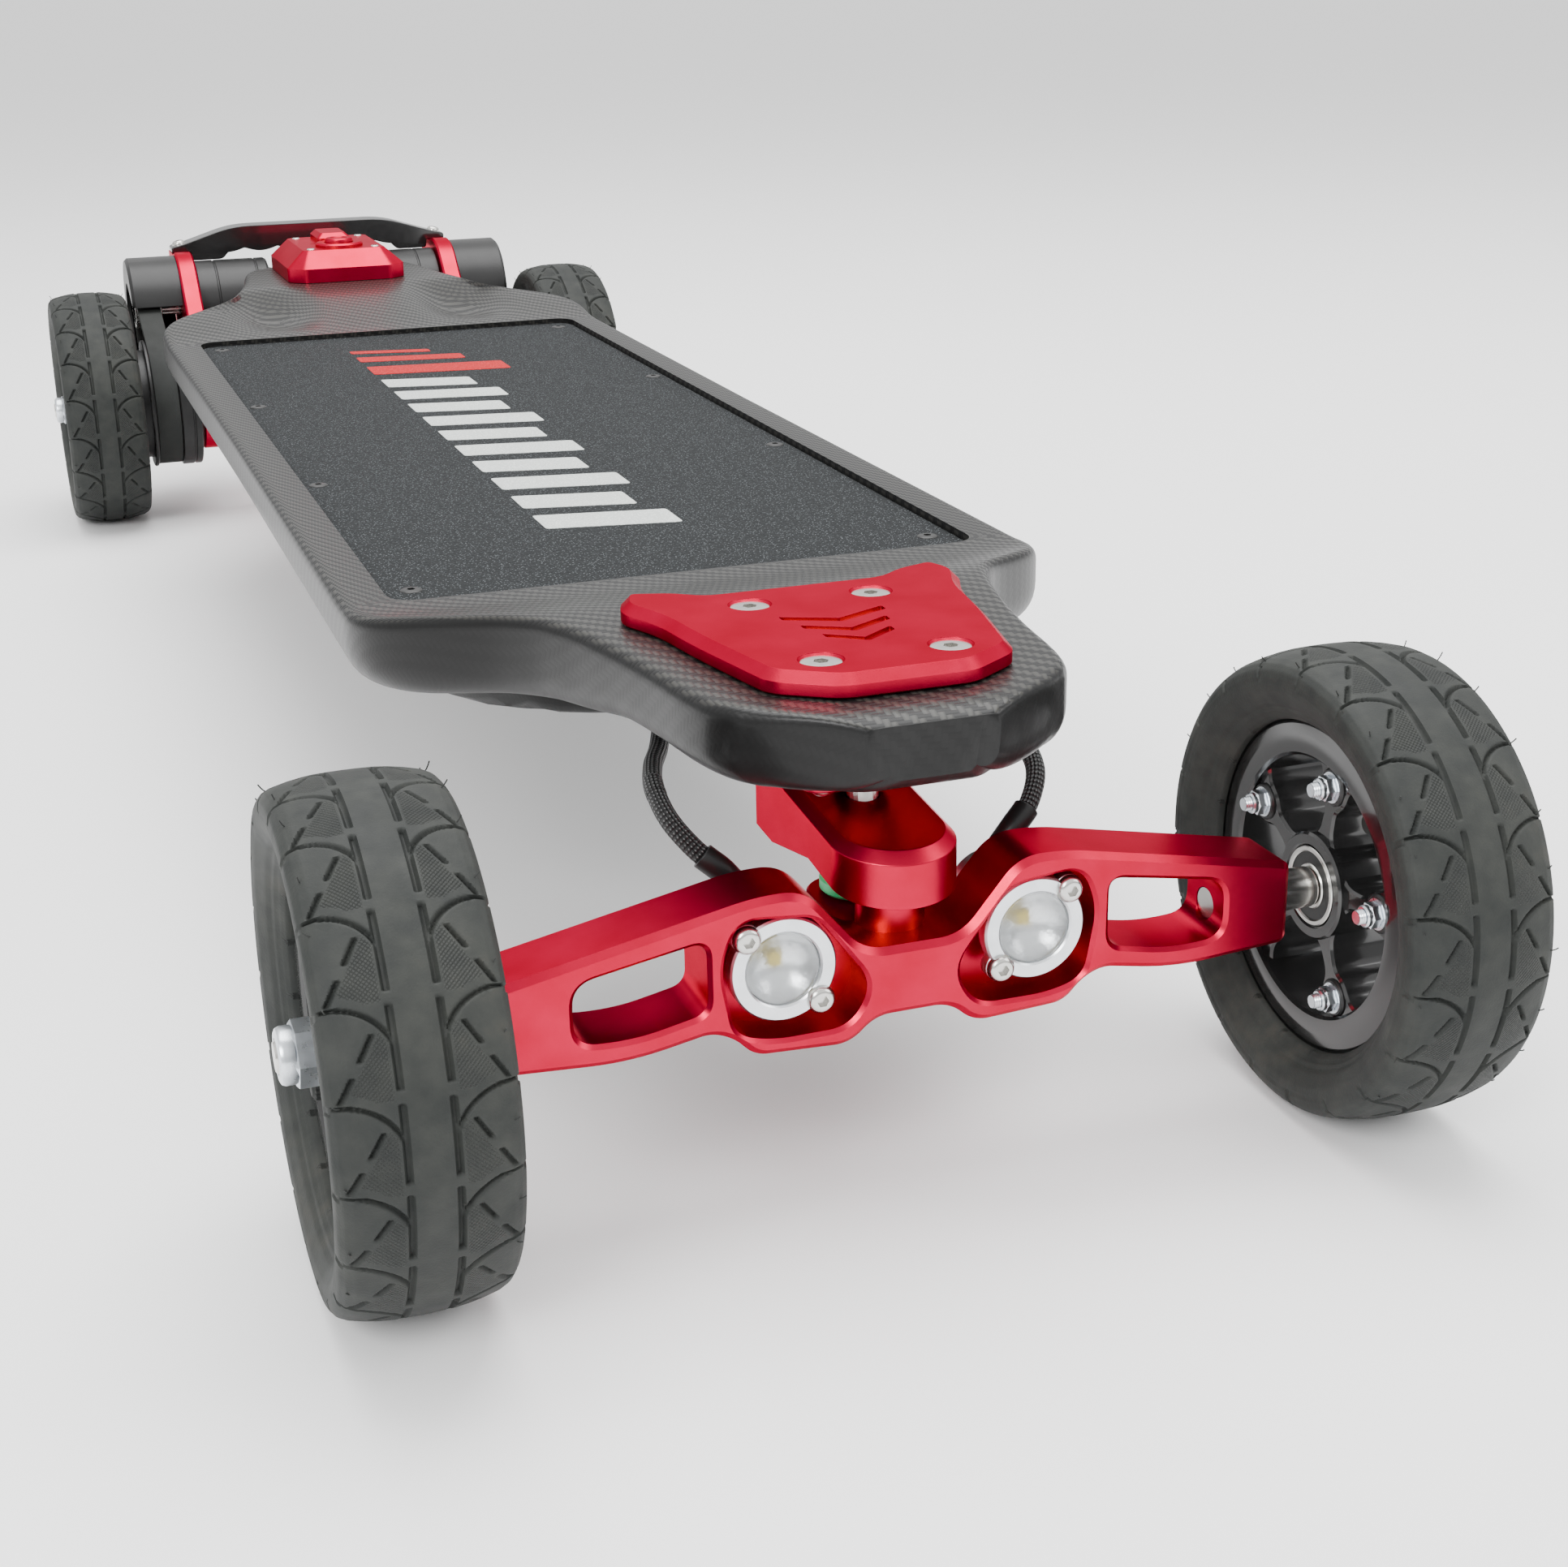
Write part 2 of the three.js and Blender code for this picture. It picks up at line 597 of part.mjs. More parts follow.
// The lead of one headlight, from the deck's underside round the arm to the lamp's back.
const LEAD_ROUTE = [
  [46, -425, 129.9], [47, -428, 126.5], [51, -438, 123.5], [57, -452, 123], [61, -467, 121.5],
  [60.5, -480, 116], [55, -488, 108.5], [48, -491, 102], [43.5, -491, 96.3],
];
const LEAD_RADIUS = 3.25;

function lightLead(side) {
  const route = LEAD_ROUTE.map(([x, y, z]) => new THREE.Vector3(side * x, y, z));
  const curve = new THREE.CatmullRomCurve3(route);
  const section = new THREE.Shape(circle(0, 0, LEAD_RADIUS, 8));
  const options = { steps: 18, extrudePath: curve, bevelEnabled: false };
  return joined(new THREE.ExtrudeGeometry(section, options));
}

// ---------------------------------------------------------------- wheels, drawn about X at x = 0

function tyre() {
  const [r, w] = [TYRE_RADIUS, TYRE_HALF_WIDTH];
  const side = [[RIM_RADIUS + 0.5, 17], [66, w], [73.8, 20.5], [r, 8.5]];
  const other = side.map(([radius, x]) => [radius, -x]).reverse();
  return turnedX([...side, ...other, side[0]], 32);
}

// Hub: rim, boss and five spokes that fork where they meet the rim.
function hub() {
  const [r, w] = [RIM_RADIUS, RIM_HALF_WIDTH];
  const rim = [[42.4, -w], [r, -w], [r, w], [42.4, w], [42.4, -w]];
  const boss = [
    [BEARING_RADIUS + 0.25, -HUB_HALF_WIDTH], [17.6, -HUB_HALF_WIDTH], [17.6, HUB_HALF_WIDTH],
    [BEARING_RADIUS + 0.25, HUB_HALF_WIDTH], [BEARING_RADIUS + 0.25, -HUB_HALF_WIDTH],
  ];
  const spoke = [
    [15.5, -4], [31, -3], [44, -17], [47, -10], [39, 0], [47, 10], [44, 17], [31, 3], [15.5, 4],
  ].map(([a, b]) => new THREE.Vector2(a, b));
  const joins = [turnedX(boss, 16)];
  for (let i = 0; i < SPOKES; i += 1) {
    joins.push(slabAlongX(spoke, -w + 2, w - 2).rotateX((2 * Math.PI * i) / SPOKES));
  }
  return build(turnedX(rim, 24), joins);
}

// Two ball bearings with the sleeve between them, as one plain ring.
function bearingPair() {
  const [outer, inner, end] = [BEARING_RADIUS, AXLE_RADIUS + GAP, HUB_HALF_WIDTH];
  return turnedX([[inner, -end], [outer, -end], [outer, end], [inner, end], [inner, -end]], 16);
}

function axleNut() {
  const radius = NUT_ACROSS_FLATS / 2 / Math.cos(Math.PI / 6);
  const bore = AXLE_RADIUS + GAP;
  const hole = turnedX([[0, -1], [bore, -1], [bore, NUT_LENGTH + 1], [0, NUT_LENGTH + 1]], 14);
  return build(slabAlongX(circle(0, 0, radius, 6), 0, NUT_LENGTH, 0.8), [], [hole]);
}

// Axle from inside the hanger out past the nut, with a collar up to the inner bearing.
function axle(start, collarStart, halfTrack) {
  const collarEnd = halfTrack - HUB_HALF_WIDTH - GAP;
  const end = halfTrack + HUB_HALF_WIDTH + 14.3;
  const r = AXLE_RADIUS;
  const profile = [
    [0, start], [r, start], [r, collarStart], [6.6, collarStart], [6.6, collarEnd], [r, collarEnd],
    [r, end], [0, end],
  ];
  return turnedX(profile, 14);
}

// One wheel with its fixed axle and nut. side is -1 or 1, and the axle lies along +Y of centre.
function wheel(name, side, halfTrack, axleStart, collarStart) {
  const turning = group(
    piece(`${name}_tyre`, "rubber", tyre()),
    piece(`${name}_hub`, "black_aluminium", hub()),
    piece(`${name}_bearings`, "steel", bearingPair()),
  );
  turning.position.x = halfTrack;
  const nut = piece(`${name}_axle_nut`, "steel", axleNut());
  nut.position.x = halfTrack + HUB_HALF_WIDTH + GAP;
  const shaft = piece(`${name}_axle`, "steel", axle(axleStart, collarStart, halfTrack));
  const made = group(turning, nut, shaft);
  made.position.z = TYRE_RADIUS;
  made.rotation.z = side > 0 ? 0 : Math.PI;
  return made;
}

// ---------------------------------------------------------------- drive

const AXLE_POINT = new THREE.Vector2(HALF_WHEELBASE, TYRE_RADIUS);
const MOTOR_POINT = new THREE.Vector2(MOTOR_Y, MOTOR_Z);

// The outline of a loop round the axle and the motor shaft, in (y, z).
function loopOutline(axleRadius, motorRadius, steps = 20) {
  const between = MOTOR_POINT.clone().sub(AXLE_POINT);
  const heading = between.angle();
  const spread = Math.acos((axleRadius - motorRadius) / between.length());
  const points = [];
  const arc = (centre, radius, from, to, count) => {
    for (let i = 0; i <= count; i += 1) {
      const angle = from + ((to - from) * i) / count;
      points.push(new THREE.Vector2(Math.cos(angle), Math.sin(angle)).multiplyScalar(radius).add(centre));
    }
  };
  arc(MOTOR_POINT, motorRadius, heading - spread, heading + spread, Math.round(steps / 2));
  arc(AXLE_POINT, axleRadius, heading + spread, heading + 2 * Math.PI - spread, steps);
  return points;
}

function belt() {
  const inner = loopOutline(WHEEL_PULLEY_RADIUS + 0.6, MOTOR_PULLEY_RADIUS + 0.6);
  const outer = loopOutline(
    WHEEL_PULLEY_RADIUS + 0.6 + BELT_THICKNESS,
    MOTOR_PULLEY_RADIUS + 0.6 + BELT_THICKNESS,
  );
  const [x0, x1] = [BELT_INNER_X, BELT_OUTER_X];
  return build(slabAlongX(outer, x0, x1), [], [slabAlongX(inner, x0 - 1, x1 + 1)]);
}

// Bolted to the rear hub: a smooth drum, two flanges with the belt's track between, and a sleeve.
function wheelPulley() {
  const [track, flange] = [WHEEL_PULLEY_RADIUS, 42.5];
  const sleeveEnd = REAR_HALF_TRACK - RIM_HALF_WIDTH - GAP;
  const profile = [
    [8, 99], [flange, 99], [flange, BELT_INNER_X - GAP],
    [track, BELT_INNER_X - GAP], [track, BELT_OUTER_X + GAP], [flange, BELT_OUTER_X + GAP],
    [flange, 130.5], [36, 130.5], [36, sleeveEnd], [28, sleeveEnd], [28, 128], [8, 128], [8, 99],
  ];
  return turnedX(profile, 28, AXLE_POINT.x, AXLE_POINT.y);
}

function motorPulley() {
  const [track, flange, shaft] = [MOTOR_PULLEY_RADIUS, 16, 4];
  const profile = [
    [0, MOUNT_INNER_X], [shaft, MOUNT_INNER_X], [shaft, 110], [flange, 110],
    [flange, BELT_INNER_X - GAP], [track, BELT_INNER_X - GAP], [track, BELT_OUTER_X + GAP],
    [0, BELT_OUTER_X + GAP],
  ];
  return turnedX(profile, 24, MOTOR_POINT.x, MOTOR_POINT.y);
}

function motor() {
  const [r, x0, x1] = [MOTOR_RADIUS, MOTOR_INNER_X, MOUNT_INNER_X - GAP];
  const profile = [
    [0, x0], [r - 6, x0], [r, x0 + 5], [r, x1], [0, x1],
  ];
  return turnedX(profile, 32, MOTOR_POINT.x, MOTOR_POINT.y);
}

// The plate that carries one motor on the end of the rear hanger, with a flat pad for the handle.
function motorMount() {
  const lobe = loopOutline(33, MOUNT_MOTOR_RADIUS, 18);
  const plate = slabAlongX(lobe, MOUNT_INNER_X, MOUNT_OUTER_X, 1.2);
  const pad = rounded([[590, 150, 0], [618, 150, 3], [618, 166, 2], [590, 166, 4]], 2);
  const cuts = [
    turnedX([[0, 80], [5.3, 80], [5.3, 100], [0, 100]], 16, AXLE_POINT.x, AXLE_POINT.y),
    turnedX([[0, 80], [11, 80], [11, 100], [0, 100]], 24, MOTOR_POINT.x, MOTOR_POINT.y),
  ];
  return build(plate, [slabAlongX(pad, MOUNT_INNER_X, MOUNT_OUTER_X)], cuts);
}

// The black cover over the motor pulley, open towards the mount and where the belt runs down.
function pulleyCover() {
  const [outerRadius, wall, outerX] = [36, 2.5, 131];
  const [y, z] = [MOTOR_POINT.x, MOTOR_POINT.y];
  const x0 = MOUNT_OUTER_X + GAP;
  const outer = [
    [0, x0], [outerRadius, x0], [outerRadius, outerX - 2], [outerRadius - 2, outerX], [0, outerX],
  ];
  const [hollowRadius, hollowEnd] = [outerRadius - wall, outerX - wall];
  const hollow = [[0, x0 - 5], [hollowRadius, x0 - 5], [hollowRadius, hollowEnd], [0, hollowEnd]];
  const beltRoom = loopOutline(WHEEL_PULLEY_RADIUS + 7, MOTOR_PULLEY_RADIUS + 7);
  return build(turnedX(outer, 36, y, z), [], [
    turnedX(hollow, 36, y, z),
    slabAlongX(beltRoom, x0 - 5, outerX + 5),
  ]);
}

// The carry handle: a bar across the two mounts with finger scallops along its underside.
function carryHandle() {
  const [endX, padZ] = [MOUNT_OUTER_X, 166 + GAP];
  const underside = 167.2;
  const scallops = [];
  const [count, halfGrip] = [5, 58];
  for (let i = 0; i <= 4 * count; i += 1) {
    const t = i / (4 * count);
    const dip = 2.6 * Math.abs(Math.cos(count * Math.PI * t));
    scallops.push([halfGrip - 2 * halfGrip * t, underside - dip, 0]);
  }
  const outline = rounded([
    [-endX, padZ, 0], [-endX, 170, 2], [-88, 172, 5], [-54, 182.6, 12], [54, 182.6, 12], [88, 172, 5],
    [endX, 170, 2], [endX, padZ, 0], [84.4, padZ, 1], [83.6, 160.2, 2], [62, 160.2, 3], ...scallops,
    [-62, 160.2, 3], [-83.6, 160.2, 2], [-84.4, padZ, 1],
  ]);
  return slabAlongY(outline, 594, 612);
}

// ---------------------------------------------------------------- assembly

const deck = group(
  piece("deck_shell", "carbon", deckShell()),
  piece("grip_panel", "grip", gripPanel()),
  piece("battery_pack", "battery", slab(boxOutline(78, -222, 92, 6), 42).translate(0, 0, 95)),
  piece("motor_controller", "controller", slab(boxOutline(62, 108, 220, 4), 30).translate(0, 0, 95)),
  piece("nose_plate", "red_aluminium", nosePlate()),
  piece("tail_block", "red_aluminium", tailBlock()),
  piece("power_button", "red_aluminium", powerButton()),
);

function truck(name, hanger) {
  return group(
    piece(`${name}_baseplate`, "red_aluminium", baseplate()),
    piece(`${name}_deck_pivot_bolt`, "steel", deckPivotBolt()),
    piece(`${name}_arm`, "red_aluminium", arm()),
    piece(`${name}_hanger_pivot_pin`, "steel", nosePivotPin()),
    piece(`${name}_hanger`, "red_aluminium", hanger),
    piece(`${name}_bushing`, "urethane", bushing()),
  );
}

const frontTruck = truck("front", frontHanger());
for (const [name, side] of [["left", -1], ["right", 1]]) {
  frontTruck.add(
    piece(`${name}_headlight`, "lamp", headlight(side)),
    piece(`${name}_headlight_lens`, "lens", headlightLens(side)),
    piece(`${name}_light_lead`, "braid", lightLead(side)),
  );
  const front = wheel(`front_${name}`, side, FRONT_HALF_TRACK, 104.2, FRONT_HANGER_HALF_SPAN + GAP);
  front.position.y = -HALF_WHEELBASE;
  frontTruck.add(front);
}

const rearTruck = truck("rear", rearHanger());
rearTruck.rotation.z = Math.PI;

// One side's drive is drawn at +X. The other is its mirror image.
function mirrorX(geometry) {
  return facingOut(geometry.clone().scale(-1, 1, 1));
}

const drive = group(
  piece("carry_handle", "black_aluminium", carryHandle()),
);
for (const [name, side] of [["left", -1], ["right", 1]]) {
  const handed = (geometry) => (side < 0 ? mirrorX(geometry) : geometry);
  drive.add(
    piece(`${name}_motor_mount`, "red_aluminium", handed(motorMount())),
    piece(`${name}_motor`, "black_aluminium", handed(motor())),
    piece(`${name}_motor_pulley`, "steel", handed(motorPulley())),
    piece(`${name}_pulley_cover`, "black_aluminium", handed(pulleyCover())),
    piece(`${name}_drive_belt`, "belt", handed(belt())),
    piece(`${name}_wheel_pulley`, "black_aluminium", handed(wheelPulley())),
  );
  const rear = wheel(`rear_${name}`, side, REAR_HALF_TRACK, MOUNT_INNER_X - 25, MOUNT_OUTER_X + GAP);
  rear.position.y = HALF_WHEELBASE;
  drive.add(rear);
}

const board = group(deck, frontTruck, rearTruck, drive);
board.position.y = -REAR_OVERHANG / 2;

export default group(board);
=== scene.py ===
"""Looks of the electric skateboard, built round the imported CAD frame.

Lengths are in millimetres in the board's own coordinates: x across, y along from the middle of
the wheelbase, z up from the floor. make() turns them into metres in the row frame.
"""
import json
import math
import random

import bmesh
import bpy
import numpy as np
from mathutils import Matrix, Vector


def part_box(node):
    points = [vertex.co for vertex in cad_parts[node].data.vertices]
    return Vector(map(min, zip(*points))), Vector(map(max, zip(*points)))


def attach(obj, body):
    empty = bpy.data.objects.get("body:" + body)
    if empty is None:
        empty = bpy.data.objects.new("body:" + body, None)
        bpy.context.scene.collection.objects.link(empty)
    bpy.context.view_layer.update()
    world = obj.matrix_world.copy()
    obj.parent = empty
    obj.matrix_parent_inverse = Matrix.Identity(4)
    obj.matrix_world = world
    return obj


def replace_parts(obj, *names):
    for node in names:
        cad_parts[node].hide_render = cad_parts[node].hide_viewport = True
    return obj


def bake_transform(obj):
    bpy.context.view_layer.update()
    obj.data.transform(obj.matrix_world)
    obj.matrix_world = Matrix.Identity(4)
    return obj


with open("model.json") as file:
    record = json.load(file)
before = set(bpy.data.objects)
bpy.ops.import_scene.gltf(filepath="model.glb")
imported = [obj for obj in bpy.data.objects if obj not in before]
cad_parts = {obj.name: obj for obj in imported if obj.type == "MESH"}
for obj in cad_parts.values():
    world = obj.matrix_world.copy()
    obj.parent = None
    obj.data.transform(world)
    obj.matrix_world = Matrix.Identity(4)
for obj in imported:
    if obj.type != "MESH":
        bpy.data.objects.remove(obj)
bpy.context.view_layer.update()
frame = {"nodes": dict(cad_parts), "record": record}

MM = 0.001
UPRIGHT = Matrix.Identity(4)
SIDES = (("left", -1), ("right", 1))


def centre_of(node):
    lo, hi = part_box(node)
    return (lo + hi) / 2


FRONT_AXLE = centre_of("front_left_tyre")
REAR_AXLE = centre_of("rear_left_tyre")
MIDDLE_Y = (FRONT_AXLE.y + REAR_AXLE.y) / 2
HALF_WHEELBASE = (REAR_AXLE.y - FRONT_AXLE.y) / 2 / MM
TYRE_RADIUS = FRONT_AXLE.z / MM
FRONT_HALF_TRACK = -FRONT_AXLE.x / MM
REAR_HALF_TRACK = -REAR_AXLE.x / MM
SHIFT = Vector((0, MIDDLE_Y, 0))


# ---------------------------------------------------------------- camera, light and floor

def make_camera():
    """The photograph's place and angle, worked out from the wheels, the deck and its screws."""
    yaw, pitch, roll = -0.337315, 0.350983, -0.0177206
    forward = Vector((-math.sin(yaw) * math.cos(pitch), math.cos(yaw) * math.cos(pitch), -math.sin(pitch)))
    right = Vector((math.cos(yaw), math.sin(yaw), 0))
    up = right.cross(forward)
    turned_right = right * math.cos(roll) + up * math.sin(roll)
    turned_up = turned_right.cross(forward)
    camera = bpy.data.objects.new("camera", bpy.data.cameras.new("camera"))
    bpy.context.scene.collection.objects.link(camera)
    rotation = Matrix((turned_right, turned_up, -forward)).transposed().to_4x4()
    place = Vector((-0.239175, -1.094226, 0.360782)) + SHIFT
    camera.matrix_world = Matrix.Translation(place) @ rotation
    camera.data.sensor_width = 36
    camera.data.lens = 52.37
    bpy.context.scene.camera = camera


def make_studio():
    """Three lamps over a wide pale floor, and a sky whose colour changes with height."""
    floor_mesh = bpy.data.meshes.new("floor")
    reach = 80
    corners = [(-reach, -reach, 0), (reach, -reach, 0), (reach, reach, 0), (-reach, reach, 0)]
    floor_mesh.from_pydata(corners, [], [(0, 1, 2, 3)])
    floor = bpy.data.objects.new("floor", floor_mesh)
    bpy.context.scene.collection.objects.link(floor)
    floor_mesh.materials.append(plain_floor())
    world = bpy.data.worlds.new("studio")
    world.use_nodes = True
    sky = world.node_tree
    direction = sky.nodes.new("ShaderNodeTexCoord").outputs["Generated"]
    height = sky.nodes.new("ShaderNodeSeparateXYZ")
    ramp = sky.nodes.new("ShaderNodeValToRGB")
    ramp.color_ramp.elements[0].position = 0.1
    ramp.color_ramp.elements[0].color = (0.46, 0.465, 0.47, 1)
    ramp.color_ramp.elements[1].position = 0.4
    ramp.color_ramp.elements[1].color = (1, 1, 1, 1)
    sky.links.new(direction, height.inputs[0])
    sky.links.new(height.outputs["Z"], ramp.inputs["Fac"])
    sky.links.new(ramp.outputs["Color"], sky.nodes["Background"].inputs["Color"])
    sky.nodes["Background"].inputs["Strength"].default_value = 1.45
    bpy.context.scene.world = world
    for name, place, aim, width, power in (
        ("key", (-1.5, -1.9, 1.5), (0, -0.5, 0.1), 1.0, 50),
        ("fill", (2.2, -1.4, 1.6), (0, -0.4, 0.1), 1.4, 26),
        ("top", (0.2, 0.2, 2.6), (0, -0.2, 0), 2.4, 120),
    ):
        lamp = bpy.data.lights.new(name, "AREA")
        lamp.size = width
        lamp.energy = power
        light = bpy.data.objects.new(name, lamp)
        bpy.context.scene.collection.objects.link(light)
        light.location = place
        light.rotation_euler = (Vector(aim) - Vector(place)).to_track_quat("-Z", "Y").to_euler()


# ---------------------------------------------------------------- materials

class Surface:
    """A Principled material whose nodes are added one call at a time."""

    def __init__(self, name, colour, roughness, metallic=0.0, **sockets):
        self.material = bpy.data.materials.new(name)
        self.material.use_nodes = True
        self.tree = self.material.node_tree
        self.shader = self.tree.nodes["Principled BSDF"]
        self.set("Base Color", (*colour, 1))
        self.set("Roughness", roughness)
        self.set("Metallic", metallic)
        for socket, value in sockets.items():
            self.set(socket.replace("_", " ").title().replace("Ior", "IOR"), value)
        self.place = None

    def set(self, socket, value):
        self.shader.inputs[socket].default_value = value

    def node(self, kind, **settings):
        made = self.tree.nodes.new(kind)
        for key, value in settings.items():
            if hasattr(made, key):
                setattr(made, key, value)
            else:
                made.inputs[key.replace("_", " ").title()].default_value = value
        return made

    def link(self, out, into):
        self.tree.links.new(out, into)

    def coordinates(self, attribute=None):
        if attribute:
            return self.node("ShaderNodeAttribute", attribute_name=attribute).outputs["Vector"]
        if self.place is None:
            self.place = self.node("ShaderNodeTexCoord").outputs["Object"]
        return self.place

    def noise(self, scale, detail=3.0):
        made = self.node("ShaderNodeTexNoise", scale=scale, detail=detail)
        self.link(self.coordinates(), made.inputs["Vector"])
        return made.outputs["Fac"]

    def cells(self, scale):
        made = self.node("ShaderNodeTexVoronoi", scale=scale)
        self.link(self.coordinates(), made.inputs["Vector"])
        return made.outputs["Distance"]

    def maths(self, operation, a, b=0.0, c=0.0):
        made = self.node("ShaderNodeMath")
        made.operation = operation
        for socket, value in zip(made.inputs, (a, b, c)):
            if isinstance(value, (int, float)):
                socket.default_value = value
            else:
                self.link(value, socket)
        return made.outputs[0]

    def colour(self, factor, stops):
        made = self.node("ShaderNodeValToRGB")
        elements = made.color_ramp.elements
        while len(elements) < len(stops):
            elements.new(0.5)
        for element, (at, colour) in zip(elements, stops):
            element.position = at
            element.color = (*colour, 1)
        self.link(factor, made.inputs["Fac"])
        self.link(made.outputs["Color"], self.shader.inputs["Base Color"])

    def roughness(self, factor, low, high):
        made = self.node("ShaderNodeMapRange")
        self.link(factor, made.inputs["Value"])
        made.inputs["To Min"].default_value = low
        made.inputs["To Max"].default_value = high
        self.link(made.outputs["Result"], self.shader.inputs["Roughness"])

    def bump(self, height, distance, strength=1.0):
        made = self.node("ShaderNodeBump")
        made.inputs["Distance"].default_value = distance
        made.inputs["Strength"].default_value = strength
        self.link(height, made.inputs["Height"])
        self.link(made.outputs["Normal"], self.shader.inputs["Normal"])


def grey(value):
    return (value, value, value)


def plain_floor():
    surface = Surface("studio_floor", grey(0.93), 0.6)
    surface.roughness(surface.noise(3), 0.55, 0.65)
    return surface.material


def anodised(name, dark, light, roughness):
    surface = Surface(name, light, roughness, 1.0)
    surface.set("Specular Tint", (1.0, 0.42, 0.46, 1))
    surface.colour(surface.noise(55, 4), [(0.25, dark), (0.75, light)])
    blasted = surface.noise(2600, 2)
    surface.roughness(blasted, roughness - 0.05, roughness + 0.08)
    surface.bump(blasted, 0.00004, 0.35)
    return surface.material


def mottled(name, base, shine, tones, gloss, relief, metallic=0.0, **sockets):
    """A material with one noise for its colour, one for its roughness and one for its relief."""
    surface = Surface(name, base, shine, metallic, **sockets)
    scale, detail, stops = tones
    surface.colour(surface.noise(scale, detail), stops)
    scale, detail, low, high = gloss
    surface.roughness(surface.noise(scale, detail), low, high)
    scale, detail, distance, strength = relief
    surface.bump(surface.noise(scale, detail), distance, strength)
    return surface.material


def steel(name, tint, roughness):
    darker = tuple(0.86 * part for part in tint)
    return mottled(
        name, tint, roughness, (180, 5, [(0.3, darker), (0.7, tint)]),
        (420, 4, roughness * 0.8, roughness * 1.25), (1500, 2, 0.00001, 0.15), metallic=1.0,
    )


def rubber(name):
    tones = (24, 6, [(0.3, (0.013, 0.0145, 0.0135)), (0.72, (0.024, 0.026, 0.024))])
    gloss, relief = (90, 4, 0.62, 0.84), (1400, 3, 0.00012, 0.5)
    return mottled(name, grey(0.03), 0.72, tones, gloss, relief, specular_ior_level=0.32)


def shrink_wrap(name, dark, light):
    tones = (30, 4, [(0.3, dark), (0.7, light)])
    return mottled(name, dark, 0.5, tones, (60, 4, 0.35, 0.6), (90, 3, 0.0006, 0.5))


def tread_rubber():
    """Tyre rubber, greyer where it is dusty, with a fine woven texture where the attribute patch says."""
    surface = Surface("tread_rubber", grey(0.02), 0.7, specular_ior_level=0.3)
    dust = surface.maths("MULTIPLY", surface.noise(16, 6), surface.noise(140, 4))
    surface.colour(
        dust,
        [(0.12, (0.0125, 0.0145, 0.0135)), (0.34, (0.024, 0.026, 0.023)), (0.6, (0.043, 0.04, 0.033))]
    )
    surface.roughness(surface.noise(90, 4), 0.55, 0.8)
    split = surface.node("ShaderNodeSeparateXYZ")
    surface.link(surface.coordinates("patch"), split.inputs[0])
    waves = []
    for channel in ("X", "Y"):
        turns = surface.maths("MULTIPLY", split.outputs[channel], 2 * math.pi / 0.0013)
        waves.append(surface.maths("SINE", turns))
    knots = surface.maths("MULTIPLY", surface.maths("MULTIPLY", waves[0], waves[1]), split.outputs["Z"])
    grain = surface.maths("MULTIPLY", surface.noise(1400, 3), 0.35)
    surface.bump(surface.maths("ADD", knots, grain), 0.0004, 0.7)
    return surface.material


def carbon():
    """Two-by-two twill under a satin lacquer, laid out along the attribute weave, in metres, with painted
    sheen on the tows and painted shade on the steep flanks.
    """
    tow = 0.0021
    surface = Surface(
        "carbon_twill", grey(0.01), 0.4, specular_ior_level=0.2, coat_weight=0.1, coat_roughness=0.16
    )
    split = surface.node("ShaderNodeSeparateXYZ")
    surface.link(surface.coordinates("weave"), split.inputs[0])
    u = surface.maths("DIVIDE", split.outputs["X"], tow)
    v = surface.maths("DIVIDE", split.outputs["Y"], tow)
    steps = surface.maths("ADD", surface.maths("FLOOR", u), surface.maths("FLOOR", v))
    over = surface.maths("LESS_THAN", surface.maths("FLOORED_MODULO", steps, 4.0), 1.5)
    across_u = surface.maths("SINE", surface.maths("MULTIPLY", surface.maths("FRACT", u), math.pi))
    across_v = surface.maths("SINE", surface.maths("MULTIPLY", surface.maths("FRACT", v), math.pi))
    warp = surface.maths("MULTIPLY", over, across_u)
    weft = surface.maths("MULTIPLY", surface.maths("SUBTRACT", 1.0, over), across_v)
    height = surface.maths("ADD", warp, weft)
    # painted shade: the weave attribute's third coordinate marks the steep flanks, which are painted
    # darker here; their twill is also faded in roughness and relief
    clear = surface.maths("SUBTRACT", 1.0, split.outputs["Z"])
    # painted sheen: the tows that lie on top are painted lighter than the ones under them, and each tow is
    # painted lighter along its crest
    weave = surface.maths("MULTIPLY_ADD", over, 0.55, surface.maths("MULTIPLY", height, 0.4))
    painted_sheen_and_shade = surface.maths("MULTIPLY", weave, clear)
    surface.colour(painted_sheen_and_shade, [(0.0, grey(0.004)), (0.4, grey(0.007)), (1.0, (0.034, 0.033, 0.029))])
    surface.roughness(surface.maths("MULTIPLY", over, clear), 0.42, 0.3)
    surface.bump(surface.maths("MULTIPLY", height, clear), 0.0002, 0.4)
    return surface.material


def grit(name, dark, light, sparkle):
    surface = Surface(name, dark, 0.85, specular_ior_level=0.25)
    grains = surface.cells(900)
    surface.colour(grains, [(0.0, sparkle), (0.1, sparkle), (0.22, light), (0.42, dark), (1.0, dark)])
    surface.roughness(surface.noise(700, 2), 0.6, 0.98)
    surface.bump(surface.maths("ADD", grains, surface.noise(2200, 3)), 0.0006, 0.9)
    return surface.material


def urethane():
    surface = Surface("green_urethane", (0.02, 0.42, 0.14), 0.4, subsurface_weight=0.2)
    surface.colour(surface.noise(120, 3), [(0.3, (0.012, 0.3, 0.09)), (0.7, (0.03, 0.5, 0.18))])
    surface.bump(surface.noise(600, 2), 0.0001, 0.3)
    return surface.material


def lens_optic():
    """Clear moulding with a fine mesh of facets."""
    surface = Surface("lens_optic", (0.95, 0.97, 0.98), 0.05, transmission_weight=1.0, ior=1.38)
    facets = surface.cells(620)
    surface.roughness(surface.noise(260, 3), 0.26, 0.34)
    surface.bump(facets, 0.0004, 0.3)
    return surface.material


